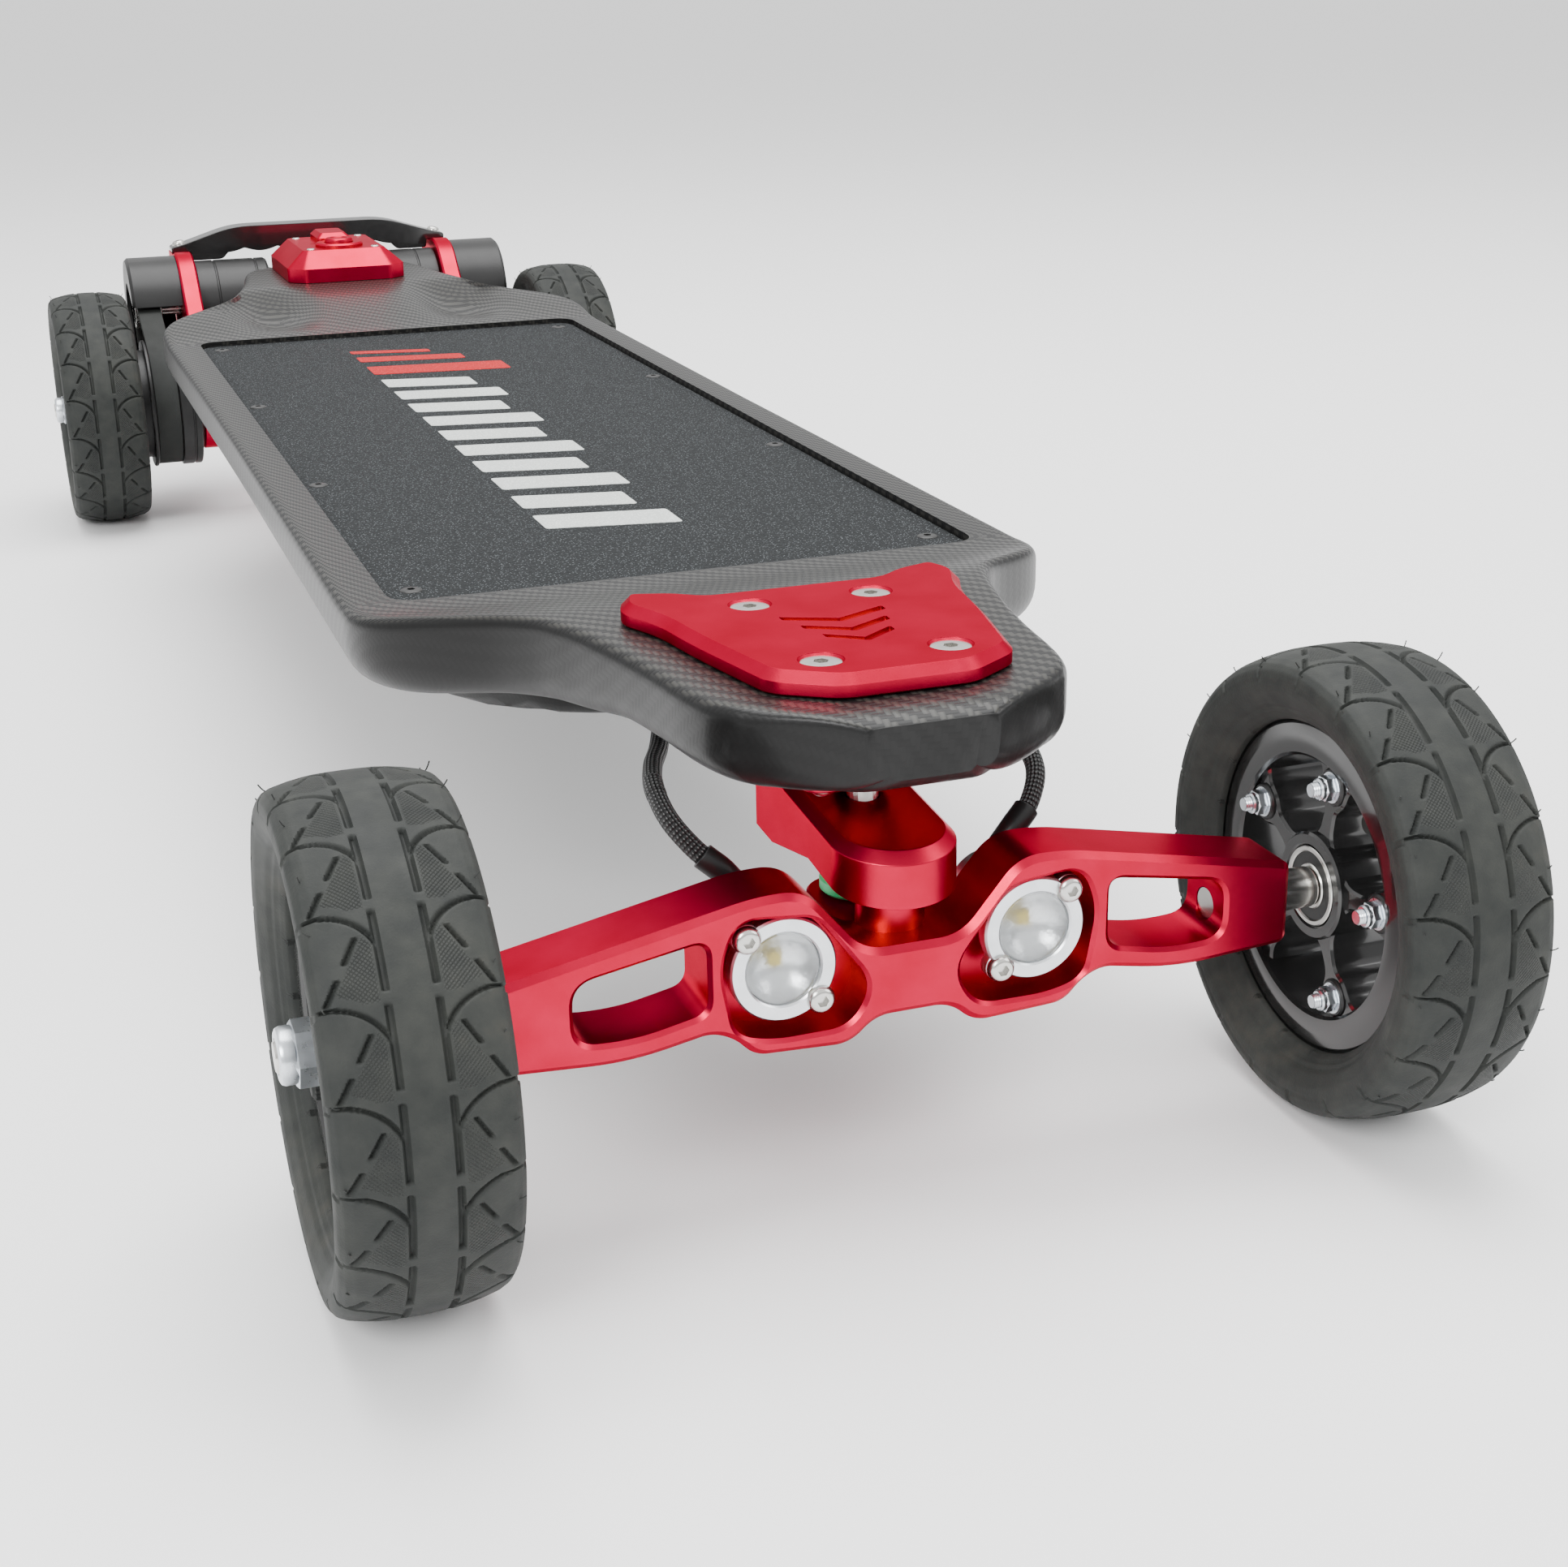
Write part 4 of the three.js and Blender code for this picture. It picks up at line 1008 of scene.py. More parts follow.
def make_hanger(end, corners, half_span, cuts=()):
    """A hanger with its boss, its saddle and its bores, besides the cuts that are its own."""
    boss = [(0, -26), (10.5, -26), (10.5, -10), (10, -8.1), (0, -8.1)]
    saddle = [(16, HANGER_BACK - 4, 0), (16, -466, 15), (-16, -466, 15), (-16, HANGER_BACK - 4, 0)]
    joins = [
        turned(boss, "z", NOSE_PIVOT, 48, NOSE_LEAN),
        prism(rounded(saddle, 10), "z", SADDLE_Z - 10, SADDLE_Z, 0.8),
    ]
    bores = [rod(6.3, -30.3, 4, "z", NOSE_PIVOT, 32, NOSE_LEAN)]
    for side in (-1, 1):
        bore = [
            (0, side * (half_span - 30)), (5.3, side * (half_span - 30)), (5.3, side * (half_span + 5)),
            (0, side * (half_span + 5))
        ]
        bores.append(turned(bore, "x", (0, -HALF_WHEELBASE, TYRE_RADIUS), 32))
    blank = prism(rounded(mirrored(corners), 9), "y", HANGER_FRONT, HANGER_BACK, 2)
    make(
        f"red_{end}_hanger", blank, f"{end}_hanger", "red_aluminium", cuts=[*bores, *cuts], joins=joins,
        bevel=0.35, replaces=[f"{end}_hanger"], half_turn=end == "rear"
    )


def make_front_hanger():
    corners = [
        (15.5, SADDLE_Z, 7), (34, 106.5, 12), (49, 106.5, 14), (127, 91, 3.2), (127, 63.8, 3.2),
        (88, 61.3, 14), (63, 66, 6), (56, 63, 6), (50, 56.5, 8), (20, 55, 11), (12, 62.5, 6),
    ]
    pocket = rounded([
        (13, 74, 8), (30.5, 98, 5), (55, 100.5, 8), (60, 86, 6), (56, 64, 9), (44, 60.8, 9), (20, 61, 9),
    ], 8)
    slot = rounded([(64, 73, 5), (64, 95.5, 5), (104, 88.5, 7), (104, 69.5, 7), (86, 68.5, 9)], 8)
    floor = HANGER_FRONT + 14
    cuts = []
    for turn in (list, flipped):
        hole = turn(pocket)
        cuts.append(lofted([
            along_axis("y", grown(hole, 2.2), HANGER_FRONT - 1), along_axis("y", hole, HANGER_FRONT + 1.2),
            along_axis("y", hole, floor),
        ]))
        cuts.append(opening(turn(slot), "y", HANGER_FRONT, HANGER_BACK, 1.3))
    for side in (-1, 1):
        cuts.append(rod(13.3, HANGER_FRONT, HANGER_BACK + 5, "y", (side * LAMP_X, 0, LAMP_Z), 48))
    make_hanger("front", corners, 127, cuts)


def make_rear_hanger():
    corners = [
        (15.5, SADDLE_Z, 7), (32, 103, 12), (49, 103, 14), (84.7, 95, 3.2), (84.7, 57, 3.2),
        (50, 55, 8), (20, 55, 11), (12, 62.5, 6),
    ]
    make_hanger("rear", corners, 84.7)


def make_truck(end):
    half_turn = end == "rear"
    blank, cuts = arm_shape()
    make(
        f"red_{end}_arm", blank, f"{end}_arm", "red_aluminium", cuts=cuts, bevel=0.45,
        replaces=[f"{end}_arm"], half_turn=half_turn
    )
    cone = [(0, -12), (8.6, -12), (9.2, -11.4), (13.5, -3), (13.5, 0.2), (0, 0.2)]
    bore = rod(5.3, -20, 2.6, "z", (0, DECK_PIVOT[1], 132), 32, DECK_LEAN)
    plate = prism(box_outline(29, -515, -452, 8), "z", 131.0, 134.2, 0.5, 0.0)
    holes = [rod(3.4, 120, 140, "z", (s * BOLT_X, BOLT_ROWS[1], 0), 24) for s in (-1, 1)]
    make(
        f"red_{end}_baseplate", plate, "deck", "red_aluminium",
        joins=[turned(cone, "z", (0, DECK_PIVOT[1], 131.5), 64, DECK_LEAN)], cuts=[bore, *holes],
        replaces=[f"{end}_baseplate"], half_turn=half_turn
    )
    ring = [(0, 0.3), (11.2, 0.3), (12, 1.2), (12, 4.2), (11.2, 5), (0, 5)]
    make(
        f"green_{end}_bushing", turned(ring, "z", (0, -480, SADDLE_Z), 48), f"{end}_hanger", "urethane",
        replaces=[f"{end}_bushing"], half_turn=half_turn
    )


def make_headlight(name, side):
    flange, front = 16.4, HANGER_FRONT + 2.5
    back = HANGER_BACK + 15
    can = [
        (0, front + 11), (11.6, front + 11), (11.6, front + 0.5), (12.1, front), (15.8, front),
        (flange, front + 0.7), (flange, front + 5), (13, front + 5), (13, back - 1.5), (11.5, back),
        (0, back),
    ]
    centre = (side * LAMP_X, 0, LAMP_Z)
    lug = [(0, front + 0.6), (3.9, front + 0.6), (4.4, front + 1.1), (4.4, front + 5), (0, front + 5)]
    spots = [(side * (LAMP_X + d), 0, LAMP_Z + d) for d in (-11.2, 11.2)]
    body = "front_hanger"
    make(
        f"{name}_lamp_can", turned(can, "y", centre, 72), body, "lamp",
        joins=[turned(lug, "y", spot, 32) for spot in spots], replaces=[f"{name}_headlight"]
    )
    dome = [
        (0, front + 0.5), (6, front + 0.55), (10.8, front + 0.9), (11.3, front + 1.4),
        (11.3, front + 2.7), (0, front + 2.7)
    ]
    make(
        f"{name}_lamp_lens", turned(dome, "y", centre, 64), body, "lens",
        replaces=[f"{name}_headlight_lens"]
    )
    bowl = [
        (11.5, front + 3.2), (9.5, front + 6.2), (5, front + 9), (0, front + 9.4), (0, front + 10.4),
        (11.5, front + 10.4), (11.5, front + 3.2)
    ]
    make(f"{name}_lamp_bowl", turned(bowl, "y", centre, 48), body, "lamp", "bowl")
    square = box_outline(2.2, LAMP_Z - 2.2, LAMP_Z + 2.2, 0.5, 3)
    chip = prism([Vector((p.x + side * LAMP_X, p.y)) for p in square], "y", front + 8.2, front + 9.2, 0.2)
    make(f"{name}_lamp_chip", chip, body, "lamp", "chip")
    for i, spot in enumerate(spots):
        place = row_point(spot[0], front + 0.4, spot[2])
        turn = Matrix.Rotation(math.pi / 2, 4, "X")
        copy_of(BUTTON_HEAD, f"{name}_lamp_screw_{i}", place, turn, body)


# ---------------------------------------------------------------- light leads

LEAD_ROUTE = [
    (46, -425, 129.9), (47, -428, 126.5), (51, -438, 123.5), (57, -452, 123), (61, -467, 121.5),
    (60.5, -480, 116), (55, -488, 108.5), (48, -491, 102), (43.5, -491, 96.3),
]
LEAD_RADIUS = 3.1
LEAD_JOIN = 4
LEAD_STEPS = 12
FERRULE_STEPS = 22


def route_points(points):
    """A smooth line through given points."""
    made = []
    for i in range(len(points) - 1):
        before, a = Vector(points[max(0, i - 1)]), Vector(points[i])
        b, after = Vector(points[i + 1]), Vector(points[min(len(points) - 1, i + 2)])
        slope, bend, twist = b - before, 2 * before - 5 * a + 4 * b - after, 3 * a - before - 3 * b + after
        for step in range(LEAD_STEPS):
            t = step / LEAD_STEPS
            made.append(0.5 * (2 * a + slope * t + bend * t * t + twist * t ** 3))
    made.append(Vector(points[-1]))
    return made


def tube(path, radius, sides=24):
    """A round tube along a path, with its braid coordinates: turns round it and strand lengths."""
    rings, weave = [], []
    travelled = 0.0
    side_axis = Vector((1, 0, 0))
    for i, point in enumerate(path):
        heading = (path[min(i + 1, len(path) - 1)] - path[max(i - 1, 0)]).normalized()
        side_axis = (side_axis - heading * side_axis.dot(heading)).normalized()
        up_axis = heading.cross(side_axis)
        if i:
            travelled += (point - path[i - 1]).length
        ring = []
        for k in range(sides):
            angle = 2 * math.pi * k / sides
            ring.append(tuple(point + (side_axis * math.cos(angle) + up_axis * math.sin(angle)) * radius))
            weave.append((abs(k / sides * 2 - 1) * 4, travelled / 3.0, 0.0))
        rings.append(ring)
    return lofted(rings), weave


def braided(name, path, radius):
    shape, weave = tube(path, radius)
    piece = raw(name, shape)
    attribute = piece.data.attributes.new("weave", "FLOAT_VECTOR", "POINT")
    attribute.data.foreach_set("vector", [v for row in weave for v in row])
    piece.data.materials.append(MATERIALS["braid"])
    shaded(piece.data, 60)
    return piece


def make_lead(name, side):
    route = [(side * x, y, z) for x, y, z in LEAD_ROUTE]
    whole = route_points(route)
    split = LEAD_JOIN * LEAD_STEPS
    for part, path, bodies in (
        ("upper", whole[: split + 1], ("deck", "front_arm")),
        ("lower", whole[split:], ("front_arm", "front_hanger")),
    ):
        piece = braided(f"{name}_lead_{part}", path, LEAD_RADIUS)
        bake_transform(piece)
        if part == "upper":
            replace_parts(piece, f"{name}_light_lead")
    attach(braided(f"{name}_lead_sleeve", whole[split - 3: split + 4], LEAD_RADIUS + 0.12), "front_arm")
    ferrule, _ = tube(whole[-FERRULE_STEPS:], LEAD_RADIUS + 1.0)
    make(f"{name}_lead_ferrule", ferrule, "front_hanger", "black_aluminium", bevel=0.3)


# ---------------------------------------------------------------- wheels

PITCHES = 19
PITCH = 2 * math.pi * TYRE_RADIUS / PITCHES
RIB = 6.4
SHOULDER = 23.0
SPOKES = 5
BOLT_CIRCLE = 36.4


def groove(distance, half_width, soft=0.5):
    """One inside a groove of that half width and zero outside, with soft edges."""
    return np.clip((half_width + soft / 2 - distance) / soft, 0, 1)


def arc_place(across):
    """How far back a curved groove lies, as a part of the pitch, at a distance from the middle."""
    reach = np.clip((SHOULDER - across) / (SHOULDER - RIB), 0, 0.995)
    return 0.55 * (1 - np.sqrt(1 - reach ** 2))


def tread(angle, x):
    """Depth of the cuts, from 0 to 1, and of the fine texture, at an angle and a place across."""
    across = np.abs(x)
    back = np.mod(-angle * PITCHES / (2 * math.pi), 1.0)
    dash = groove(np.abs(across - RIB), 0.75) * groove(np.abs(back - 0.47) * PITCH, 0.43 * PITCH)
    depth = dash
    for turn in (0, 1):
        gap = np.abs(back + turn - arc_place(across)) * PITCH
        slope = 1 + 1.5 * np.clip((SHOULDER - across) / (SHOULDER - RIB), 0, 1) ** 3
        arc = groove(gap / slope, 0.5) * groove(SHOULDER + 1.5 - across, 90) * (across > RIB)
        depth = np.maximum(depth, arc * (across < SHOULDER + 1.8))
    line = 21.2 - 14.9 * (0.96 - back)
    from_line = np.abs(across - line) * 0.86
    in_dash = np.maximum(
        groove(np.abs(back - 0.84) * PITCH, 0.125 * PITCH),
        groove(np.abs(back - 0.44) * PITCH, 0.13 * PITCH)
    )
    depth = np.maximum(depth, groove(from_line, 0.55) * in_dash)
    behind = arc_place(across)
    inside = (across > RIB + 2) & (across < line - 1.6) & (back < behind + 0.86) & (back > behind + 0.1)
    return depth, inside.astype(float)


TYRE_PROFILE = [
    (54.1, 17.0), (56.5, 19.6), (60.0, 22.3), (64.0, 24.4), (67.5, 25.0), (70.6, 24.5), (72.6, 22.9),
    (73.8, 20.5), (74.9, 16.0), (75.6, 12.0), (76.0, 8.5), (76.15, 4.0), (76.2, 0.0),
]


def tyre_mesh():
    """One tyre about its own centre, its axis along x, with the tread pressed into a fine grid."""
    around = PITCHES * 54
    half = np.array(TYRE_PROFILE)
    full = np.vstack([half, (half * [1, -1])[-2::-1]])
    lengths = np.concatenate([[0], np.cumsum(np.hypot(*np.diff(full, axis=0).T))])
    wall = np.interp(71.0, half[:7, 0], lengths[:7])
    fine = np.concatenate([
        np.linspace(0, wall, 26)[:-1], np.linspace(wall, lengths[-1] - wall, 112),
        np.linspace(lengths[-1] - wall, lengths[-1], 26)[1:],
    ])
    angle = np.arange(around) * 2 * math.pi / around
    radius = np.tile(np.interp(fine, lengths, full[:, 0]), (around, 1))
    place = np.tile(np.interp(fine, lengths, full[:, 1]), (around, 1))
    turn = np.tile(angle[:, None], (1, len(fine)))
    depth, patch = tread(turn, place)
    worn = np.clip((radius - 71.2) / 1.2, 0, 1)
    radius = radius - 1.5 * depth * worn
    ring = (np.abs(radius - 67.2) < 0.45) | (np.abs(radius - 58.4) < 0.5) | (np.abs(radius - 56.4) < 0.4)
    place = place - np.sign(place) * 0.35 * ring
    lug = (np.mod(-turn * PITCHES / (2 * math.pi), 1) < 0.09) & (radius > 67.9) & (radius < 71.4)
    place = place - np.sign(place) * 0.6 * lug
    woven = np.stack([turn * TYRE_RADIUS * MM, place * MM, patch], -1)
    inside_r = np.array([54.1, 58.0, 66.0, 72.0, 66.0, 58.0])
    inside_x = np.array([-15.0, -19.0, -21.0, 0.0, 21.0, 19.0])
    radius = np.hstack([radius, np.tile(inside_r, (around, 1))])
    place = np.hstack([place, np.tile(inside_x, (around, 1))])
    woven = np.concatenate([woven, np.zeros((around, 6, 3))], 1)
    count = radius.shape[1]
    turn = np.tile(angle[:, None], (1, count))
    points = np.stack([place, radius * np.sin(turn), radius * np.cos(turn)], -1)
    index = np.arange(around * count).reshape(around, count)
    a, b = index, np.roll(index, -1, axis=0)
    quads = np.stack([a, b, np.roll(b, -1, axis=1), np.roll(a, -1, axis=1)], -1).reshape(-1, 4)
    mesh = bpy.data.meshes.new("tyre_tread")
    mesh.from_pydata((points.reshape(-1, 3) * MM).tolist(), [], quads.tolist())
    mesh.attributes.new("patch", "FLOAT_VECTOR", "POINT").data.foreach_set("vector", woven.ravel())
    work = bmesh.new()
    work.from_mesh(mesh)
    bmesh.ops.recalc_face_normals(work, faces=work.faces)
    work.to_mesh(mesh)
    work.free()
    mesh.materials.append(MATERIALS["tyre"])
    shaded(mesh, 50)
    return mesh


def whiskers(seed):
    """Moulding whiskers round both shoulders, none of them near the floor at rest."""
    chance = random.Random(seed)
    count = 44
    parts = []
    for i in range(count):
        angle = 2 * math.pi * (i + 0.6 * chance.random()) / count
        if abs(angle - math.pi) < 0.7:
            continue
        side = 1 if i % 2 else -1
        lean = side * math.radians(chance.uniform(35, 75))
        length = chance.uniform(0.9, 2.6)
        outward = Vector(
            (math.sin(lean), math.cos(lean) * math.sin(angle), math.cos(lean) * math.cos(angle))
        )
        foot = Vector((side * 21.5, 72.9 * math.sin(angle), 72.9 * math.cos(angle)))
        path = [foot + outward * (length * t / 3) + Vector((0, 0, 0.12 * t * t)) for t in range(4)]
        parts.append(tube(path, 0.2, 6)[0])
    return merged(*parts)


def spoke_outline():
    """One spoke: a slim stem that widens round its bolt and spreads into the rim."""
    half = [
        (15.5, 6.5, 0), (19.5, 3.4, 4), (28, 2.8, 4), (32, 6.4, 4), (38.5, 7.6, 3), (44.5, 15, 0),
        (47.5, 15, 0)
    ]
    return rounded(half + [(r, -w, radius) for r, w, radius in reversed(half)], 5)


def hub_mesh():
    """Rim, boss and spokes about the wheel's centre, its axis along x."""
    rim = [
        (42.4, -14.5), (43.4, -15.6), (47.5, -16), (49.5, -15.2), (52.6, -15.2), (53.6, -14.6),
        (53.6, 14.6), (52.6, 15.2), (49.5, 15.2), (47.5, 16), (43.4, 15.6), (42.4, 14.5), (42.4, -14.5),
    ]
    boss = [
        (13.25, -14.4), (13.9, -15), (16.8, -15), (17.6, -14.2), (17.6, 14.2), (16.8, 15), (13.9, 15),
        (13.25, 14.4), (13.25, -14.4)
    ]
    parts = [turned(rim, "x", segments=112), turned(boss, "x", segments=72)]
    for i in range(SPOKES):
        angle = 2 * math.pi * i / SPOKES
        vertices, faces = prism(spoke_outline(), "x", -13, 13, 0.8)
        rotation = Matrix.Rotation(angle, 3, "X")
        parts.append(([tuple(rotation @ Vector(v)) for v in vertices], faces))
    return pattern("hub_casting", merged(*parts), "gloss_black")


def ring_pairs(name, material, *rings):
    """Rings of revolution, each of them at both ends of a hub."""
    parts = []
    for side in (-1, 1):
        for ring in rings:
            parts.append(turned([(r, side * x) for r, x in ring], "x", segments=64))
    return pattern(name, merged(*parts), material)


OUTER_RACE = [(11.2, 7), (13, 7), (13, 14.7), (12.7, 15), (11.6, 15), (11.2, 14.6), (11.2, 7)]
INNER_RACE = [(5.3, 7), (7.4, 7), (7.4, 14.6), (7.1, 15), (5.6, 15), (5.3, 14.7), (5.3, 7)]
SHIELD = [(7.5, 13.9), (11.1, 13.9), (11.1, 14.4), (7.5, 14.4), (7.5, 13.9)]


def nut_mesh():
    """A nylon-collared axle nut on its washer, its axis along x."""
    nut = prism(circle(0, 0, 9.81, 6), "x", 1.8, 9, 0.9)
    collar = turned(
        [(5.3, 8.6), (8.4, 8.6), (8.4, 11.6), (7.9, 12.7), (6.9, 13.2), (5.3, 13.2), (5.3, 8.6)], "x",
        segments=48
    )
    washer = turned(
        [(5.3, -0.2), (10.8, -0.2), (10.8, 1.3), (10.3, 1.8), (5.3, 1.8), (5.3, -0.2)], "x", segments=48
    )
    return pattern("axle_nut", merged(nut, collar, washer), "zinc")


def small_nut_mesh():
    """The nut on a hub bolt, with the bolt's end and a washer, its axis along z."""
    nut = prism(circle(0, 0, 4.2, 6), "z", 0, 3.4, 0.4)
    collar = turned([(0, 3.2), (3.5, 3.2), (3.5, 4.4), (3.0, 4.9), (0, 4.9)], "z", segments=32)
    end = threaded(2.4, 4.6, 7.2, pitch=0.8)
    washer = rod(5, -0.6, 0.05, "z", segments=32)
    return pattern("small_nut", merged(nut, collar, end, washer), "zinc")


def valve_shape():
    """Air valve with a ribbed cap, pointing out of the wheel between two spokes."""
    count = 16
    ribs = []
    for i in range(count):
        angle = 2 * math.pi * i / count
        foot = (0, 4.0 * math.cos(angle), 4.0 * math.sin(angle))
        ribs.append(turned([(0, 9), (0.6, 9), (0.6, 17), (0, 17.4)], "x", foot, 8))
    stem = turned([(0, -6), (3, -6), (3, 8), (4, 9), (4.1, 17), (3.2, 18), (0, 18)], "x", segments=32)
    return merged(stem, *ribs)


BUTTON_HEAD = screw_mesh("button_head", 4.4, 2.6, 1.9)
SPOKE_STARTS = {"front_left": 132, "front_right": 29, "rear_left": 100, "rear_right": 61}


def make_wheels():
    tyre, hub = tyre_mesh(), hub_mesh()
    bearings = ring_pairs("bearing_rings", "steel", OUTER_RACE, INNER_RACE)
    shields = ring_pairs("bearing_shields", "black_aluminium", SHIELD)
    nut, small_nut = nut_mesh(), small_nut_mesh()
    hub_screw = screw_mesh("hub_screw", 4.0, 2.3, 1.7)
    fasteners = (("nut", small_nut, -14.2, -1), ("screw", hub_screw, 14, 1))
    for end, half_track, y in (
        ("front", FRONT_HALF_TRACK, -HALF_WHEELBASE), ("rear", REAR_HALF_TRACK, HALF_WHEELBASE)
    ):
        for name, side in SIDES:
            label, body = f"{end}_{name}", f"{end}_{name}_wheel"
            centre = row_point(side * half_track, y, TYRE_RADIUS)
            seed = 11 + 2 * (end == "rear") + (side > 0)
            start = Matrix.Rotation(math.radians(SPOKE_STARTS[label]), 4, "X")
            facing = UPRIGHT if side > 0 else Matrix.Rotation(math.pi, 4, "Z")
            turn = facing @ start
            spin = turn.to_3x3()
            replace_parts(copy_of(tyre, f"{label}_tread", centre, UPRIGHT, body), f"{label}_tyre")
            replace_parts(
                copy_of(hub, f"{label}_casting", centre, turn, body), f"{label}_hub"
            )
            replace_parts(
                copy_of(bearings, f"{label}_bearing_rings", centre, facing, body),
                f"{label}_bearings"
            )
            copy_of(shields, f"{label}_bearing_shields", centre, facing, body)
            hairs = pattern(f"{label}_hairs", whiskers(seed), "rubber")
            copy_of(hairs, f"{label}_whiskers", centre, facing, body)
            boss = [(0, -14), (5.6, -14), (6.2, -13.4), (6.2, 13.4), (5.6, 14), (0, 14)]
            boss_mesh = pattern(f"{label}_bolt_boss", turned(boss, "x", segments=32), "black_aluminium")
            for i in range(SPOKES):
                angle = 2 * math.pi * i / SPOKES
                spot = Vector((0, BOLT_CIRCLE * math.cos(angle), BOLT_CIRCLE * math.sin(angle))) * MM
                copy_of(boss_mesh, f"{label}_boss_{i}", centre + spin @ spot, turn, body)
                for kind, mesh, reach, quarters in fasteners:
                    at = centre + spin @ (spot + Vector((reach * MM, 0, 0)))
                    outward = turn @ Matrix.Rotation(quarters * math.pi / 2, 4, "Y")
                    copy_of(mesh, f"{label}_hub_{kind}_{i}", at, outward, body)
            valve = pattern(f"{label}_valve_shape", valve_shape(), "rubber")
            at = centre + spin @ Vector((0, -1.6 * MM, 30 * MM))
            copy_of(valve, f"{label}_valve", at, turn, body)
            fixed = f"{end}_hanger"
            nut_at = centre + Vector((side * 15.5 * MM, 0, 0))
            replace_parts(copy_of(nut, f"{label}_nut", nut_at, facing, fixed), f"{label}_axle_nut")
            make_axle(label, end, side, half_track, y)


def make_axle(label, end, side, half_track, y):
    """An axle half with a collar and a thread at its outer end."""
    start, collar = (104.2, 127.3) if end == "front" else (60.0, 97.3)
    collar_end, finish = half_track - 15.3, half_track + 29.3
    outline = [
        (0, start), (5, start), (5, collar), (6.6, collar), (6.6, collar_end - 1), (6.2, collar_end),
        (5, collar_end), (5, finish - 12),
    ]
    place = finish - 12
    while place < finish - 1.6:
        outline += [(4.55, place + 0.55), (5, place + 1.1)]
        place += 1.1
    outline += [(4.2, finish), (0, finish)]
    profile = [(r, side * x) for r, x in outline]
    make(
        f"{label}_axle_rod", turned(profile, "x", (0, y, TYRE_RADIUS), 48), f"{end}_hanger", "steel",
        replaces=[f"{label}_axle"]
    )


# ---------------------------------------------------------------- drive

AXLE = Vector((HALF_WHEELBASE, TYRE_RADIUS))
MOTOR = Vector((580, 130))


def loop_outline(axle_radius, motor_radius, steps=72):
    """A loop round the axle and the motor shaft, in the plane of y and z."""
    between = MOTOR - AXLE
    heading = math.atan2(between.y, between.x)
    spread = math.acos((axle_radius - motor_radius) / between.length)
    points = []
    for centre, radius, first, last, count in (
        (MOTOR, motor_radius, heading - spread, heading + spread, steps // 2),
        (AXLE, axle_radius, heading + spread, heading + 2 * math.pi - spread, steps),
    ):
        for i in range(count + 1):
            angle = first + (last - first) * i / count
            points.append(centre + Vector((math.cos(angle), math.sin(angle))) * radius)
    return points


def toothed(radius, teeth, depth, steps=8):
    """A pulley outline with rounded teeth."""
    points = []
    for i in range(teeth * steps):
        angle = 2 * math.pi * i / (teeth * steps)
        reach = radius - depth * (0.5 + 0.5 * math.cos(angle * teeth)) ** 2
        points.append(Vector((math.cos(angle), math.sin(angle))) * reach)
    return points


def both(shape, side):
    """A right-hand shape, or its mirror image when side is -1."""
    vertices, faces = shape
    return [(side * x, y, z) for x, y, z in vertices], faces


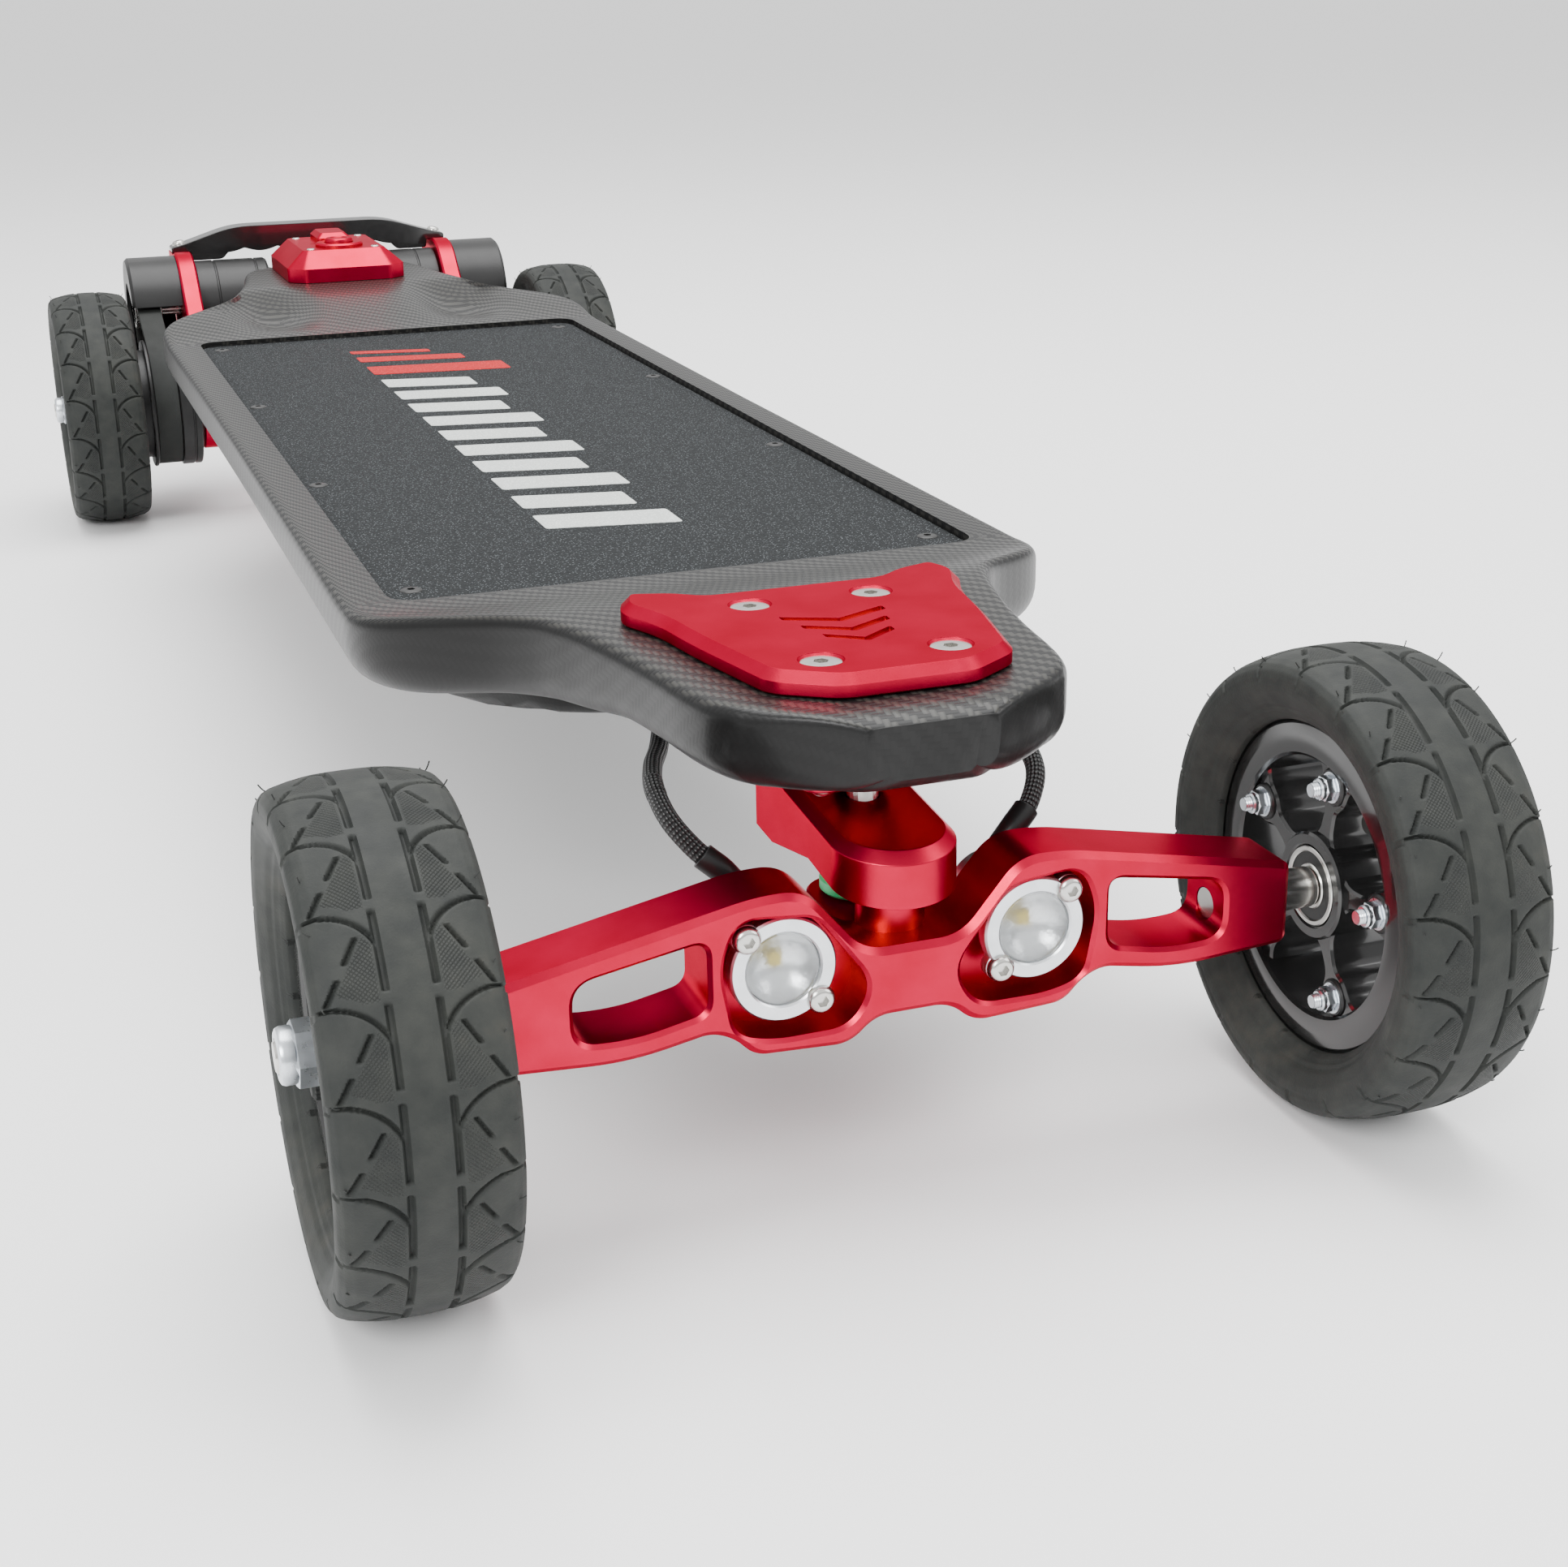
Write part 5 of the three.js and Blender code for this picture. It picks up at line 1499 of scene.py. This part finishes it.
def make_drive(name, side):
    body = "rear_hanger"
    motor_at = (0, MOTOR.x, MOTOR.y)
    axle_at = (0, AXLE.x, AXLE.y)

    def part(label, shape, rides_on, slot, cuts=(), joins=(), **details):
        cuts, joins = [[both(extra, side) for extra in group] for group in (cuts, joins)]
        make(f"{name}_{label}", both(shape, side), rides_on, slot, cuts=cuts, joins=joins, **details)

    can = [(0, 30), (22, 30), (24, 31), (24.5, 33), (27, 33.6), (30.4, 34.6), (31.5, 36.2)]
    for groove_at in (42, 70):
        can += [
            (31.5, groove_at), (30.9, groove_at + 0.5), (30.9, groove_at + 1.3), (31.5, groove_at + 1.8)
        ]
    can += [(31.5, 83.9), (30.9, 84.6), (0, 84.6)]
    can = turned(can, "x", motor_at, 96)
    part("motor_can", can, body, "black_aluminium", replaces=[f"{name}_motor"])
    plate = prism(loop_outline(33, 38), "x", 85, 97, 1.2)
    pad = prism(rounded([(590, 150, 0), (618, 150, 3), (618, 166, 2), (590, 166, 4)], 5), "x", 85, 97)
    cuts = [rod(5.3, 80, 100, "x", axle_at, 32), rod(11, 80, 100, "x", motor_at, 48)]
    part(
        "red_mount", plate, body, "red_aluminium", cuts, [pad], bevel=0.4,
        replaces=[f"{name}_motor_mount"],
    )
    cover = turned([(0, 97.3), (36, 97.3), (36, 129), (34.2, 131), (0, 131)], "x", motor_at, 96)
    hollow = rod(33.5, 92, 128.5, "x", motor_at, 72)
    room = prism(loop_outline(44.6, 19.1), "x", 92, 136)
    part(
        "belt_cover", cover, body, "black_aluminium", [hollow, room], bevel=0.3,
        replaces=[f"{name}_pulley_cover"],
    )
    belt = prism(loop_outline(40.9, 15.4), "x", 112.3, 127.7, 0.3)
    inner = prism(loop_outline(38.2, 12.7), "x", 110, 130)
    part("belt_loop", belt, body, "belt", [inner], replaces=[f"{name}_drive_belt"])
    drum = [
        (8, 99), (41.8, 99), (42.5, 99.7), (42.5, 103), (41.9, 103.4), (41.9, 104.2), (42.5, 104.6),
        (42.5, 111.4), (41.8, 112), (34, 112), (34, 128), (41.8, 128)
    ]
    drum += [
        (42.5, 128.6), (42.5, 130), (41.8, 130.5), (36, 130.5), (36, 145.7), (28, 145.7), (28, 128),
        (8, 128), (8, 99)
    ]
    wheel_body = f"rear_{name}_wheel"
    drum = turned(drum, "x", axle_at, 96)
    part("wheel_drum", drum, wheel_body, "black_aluminium", replaces=[f"{name}_wheel_pulley"])
    teeth = [Vector((p.x + AXLE.x, p.y + AXLE.y)) for p in toothed(37.6, 48, 1.4)]
    part("wheel_teeth", prism(teeth, "x", 112, 128), wheel_body, "black_aluminium")
    small = [
        (0, 85), (4, 85), (4, 110), (15.4, 110), (16, 110.5), (16, 111.6), (15.6, 112), (10, 112),
        (10, 128), (0, 128)
    ]
    small_body = f"{name}_motor_pulley"
    small = turned(small, "x", motor_at, 64)
    part("pulley_flange", small, small_body, "steel", replaces=[f"{name}_motor_pulley"])
    cogs = [Vector((p.x + MOTOR.x, p.y + MOTOR.y)) for p in toothed(12.1, 16, 1.4, 10)]
    part("pulley_teeth", prism(cogs, "x", 112, 128), small_body, "steel")
    for i in range(4):
        angle = math.pi / 4 + math.pi / 2 * i
        place = row_point(side * 97, MOTOR.x + 26 * math.cos(angle), MOTOR.y + 26 * math.sin(angle))
        turn = Matrix.Rotation(side * math.pi / 2, 4, "Y")
        copy_of(BUTTON_HEAD, f"{name}_motor_screw_{i}", place, turn, body)


def make_handle():
    end, pad_z, underside = 97, 166.3, 167.2
    scallops = []
    count, half_grip, steps = 5, 58, 60
    for i in range(steps + 1):
        t = i / steps
        scallops.append(
            (half_grip - 2 * half_grip * t, underside - 2.6 * abs(math.cos(count * math.pi * t)), 0)
        )
    outline = rounded([
        (-end, pad_z, 0), (-end, 170, 2), (-88, 172, 5), (-54, 182.6, 12), (54, 182.6, 12), (88, 172, 5),
        (end, 170, 2), (end, pad_z, 0), (84.4, pad_z, 1), (83.6, 160.2, 2), (62, 160.2, 3), *scallops,
        (-62, 160.2, 3), (-83.6, 160.2, 2), (-84.4, pad_z, 1),
    ], 5)
    make(
        "black_carry_handle", prism(outline, "y", 594, 612), "rear_hanger", "black_aluminium",
        "gloss_black", bevel=1.2, replaces=["carry_handle"]
    )
    for label, side in SIDES:
        place = row_point(side * 91, 603, 171.2)
        turn = Matrix.Rotation(side * 0.2, 4, "Y")
        copy_of(BUTTON_HEAD, f"handle_screw_{label}", place, turn, "rear_hanger")


# ---------------------------------------------------------------- build

def finish_cad_nodes():
    """Gives each CAD node that still shows its material and soft edges."""
    slots = {row["node"]: row["material_slot"] for row in frame["record"]["subparts"]}
    for name, node in frame["nodes"].items():
        if node.hide_render:
            continue
        slot = slots[name]
        node.data.materials.clear()
        node.data.materials.append(MATERIALS[slot])
        weld = node.modifiers.new("weld", "WELD")
        weld.merge_threshold = 0.00001
        edge = node.modifiers.new("edge", "BEVEL")
        edge.width = 0.0004
        edge.segments = 2
        edge.limit_method = "ANGLE"
        edge.angle_limit = math.radians(35)


make_camera()
make_studio()
make_deck()
make_grip()
make_nose_plate()
make_tail()
make_truck("front")
make_truck("rear")
make_front_hanger()
make_rear_hanger()
for side_name, side_sign in SIDES:
    make_headlight(side_name, side_sign)
    make_lead(side_name, side_sign)
    make_drive(side_name, side_sign)
make_handle()
make_wheels()
finish_cad_nodes()
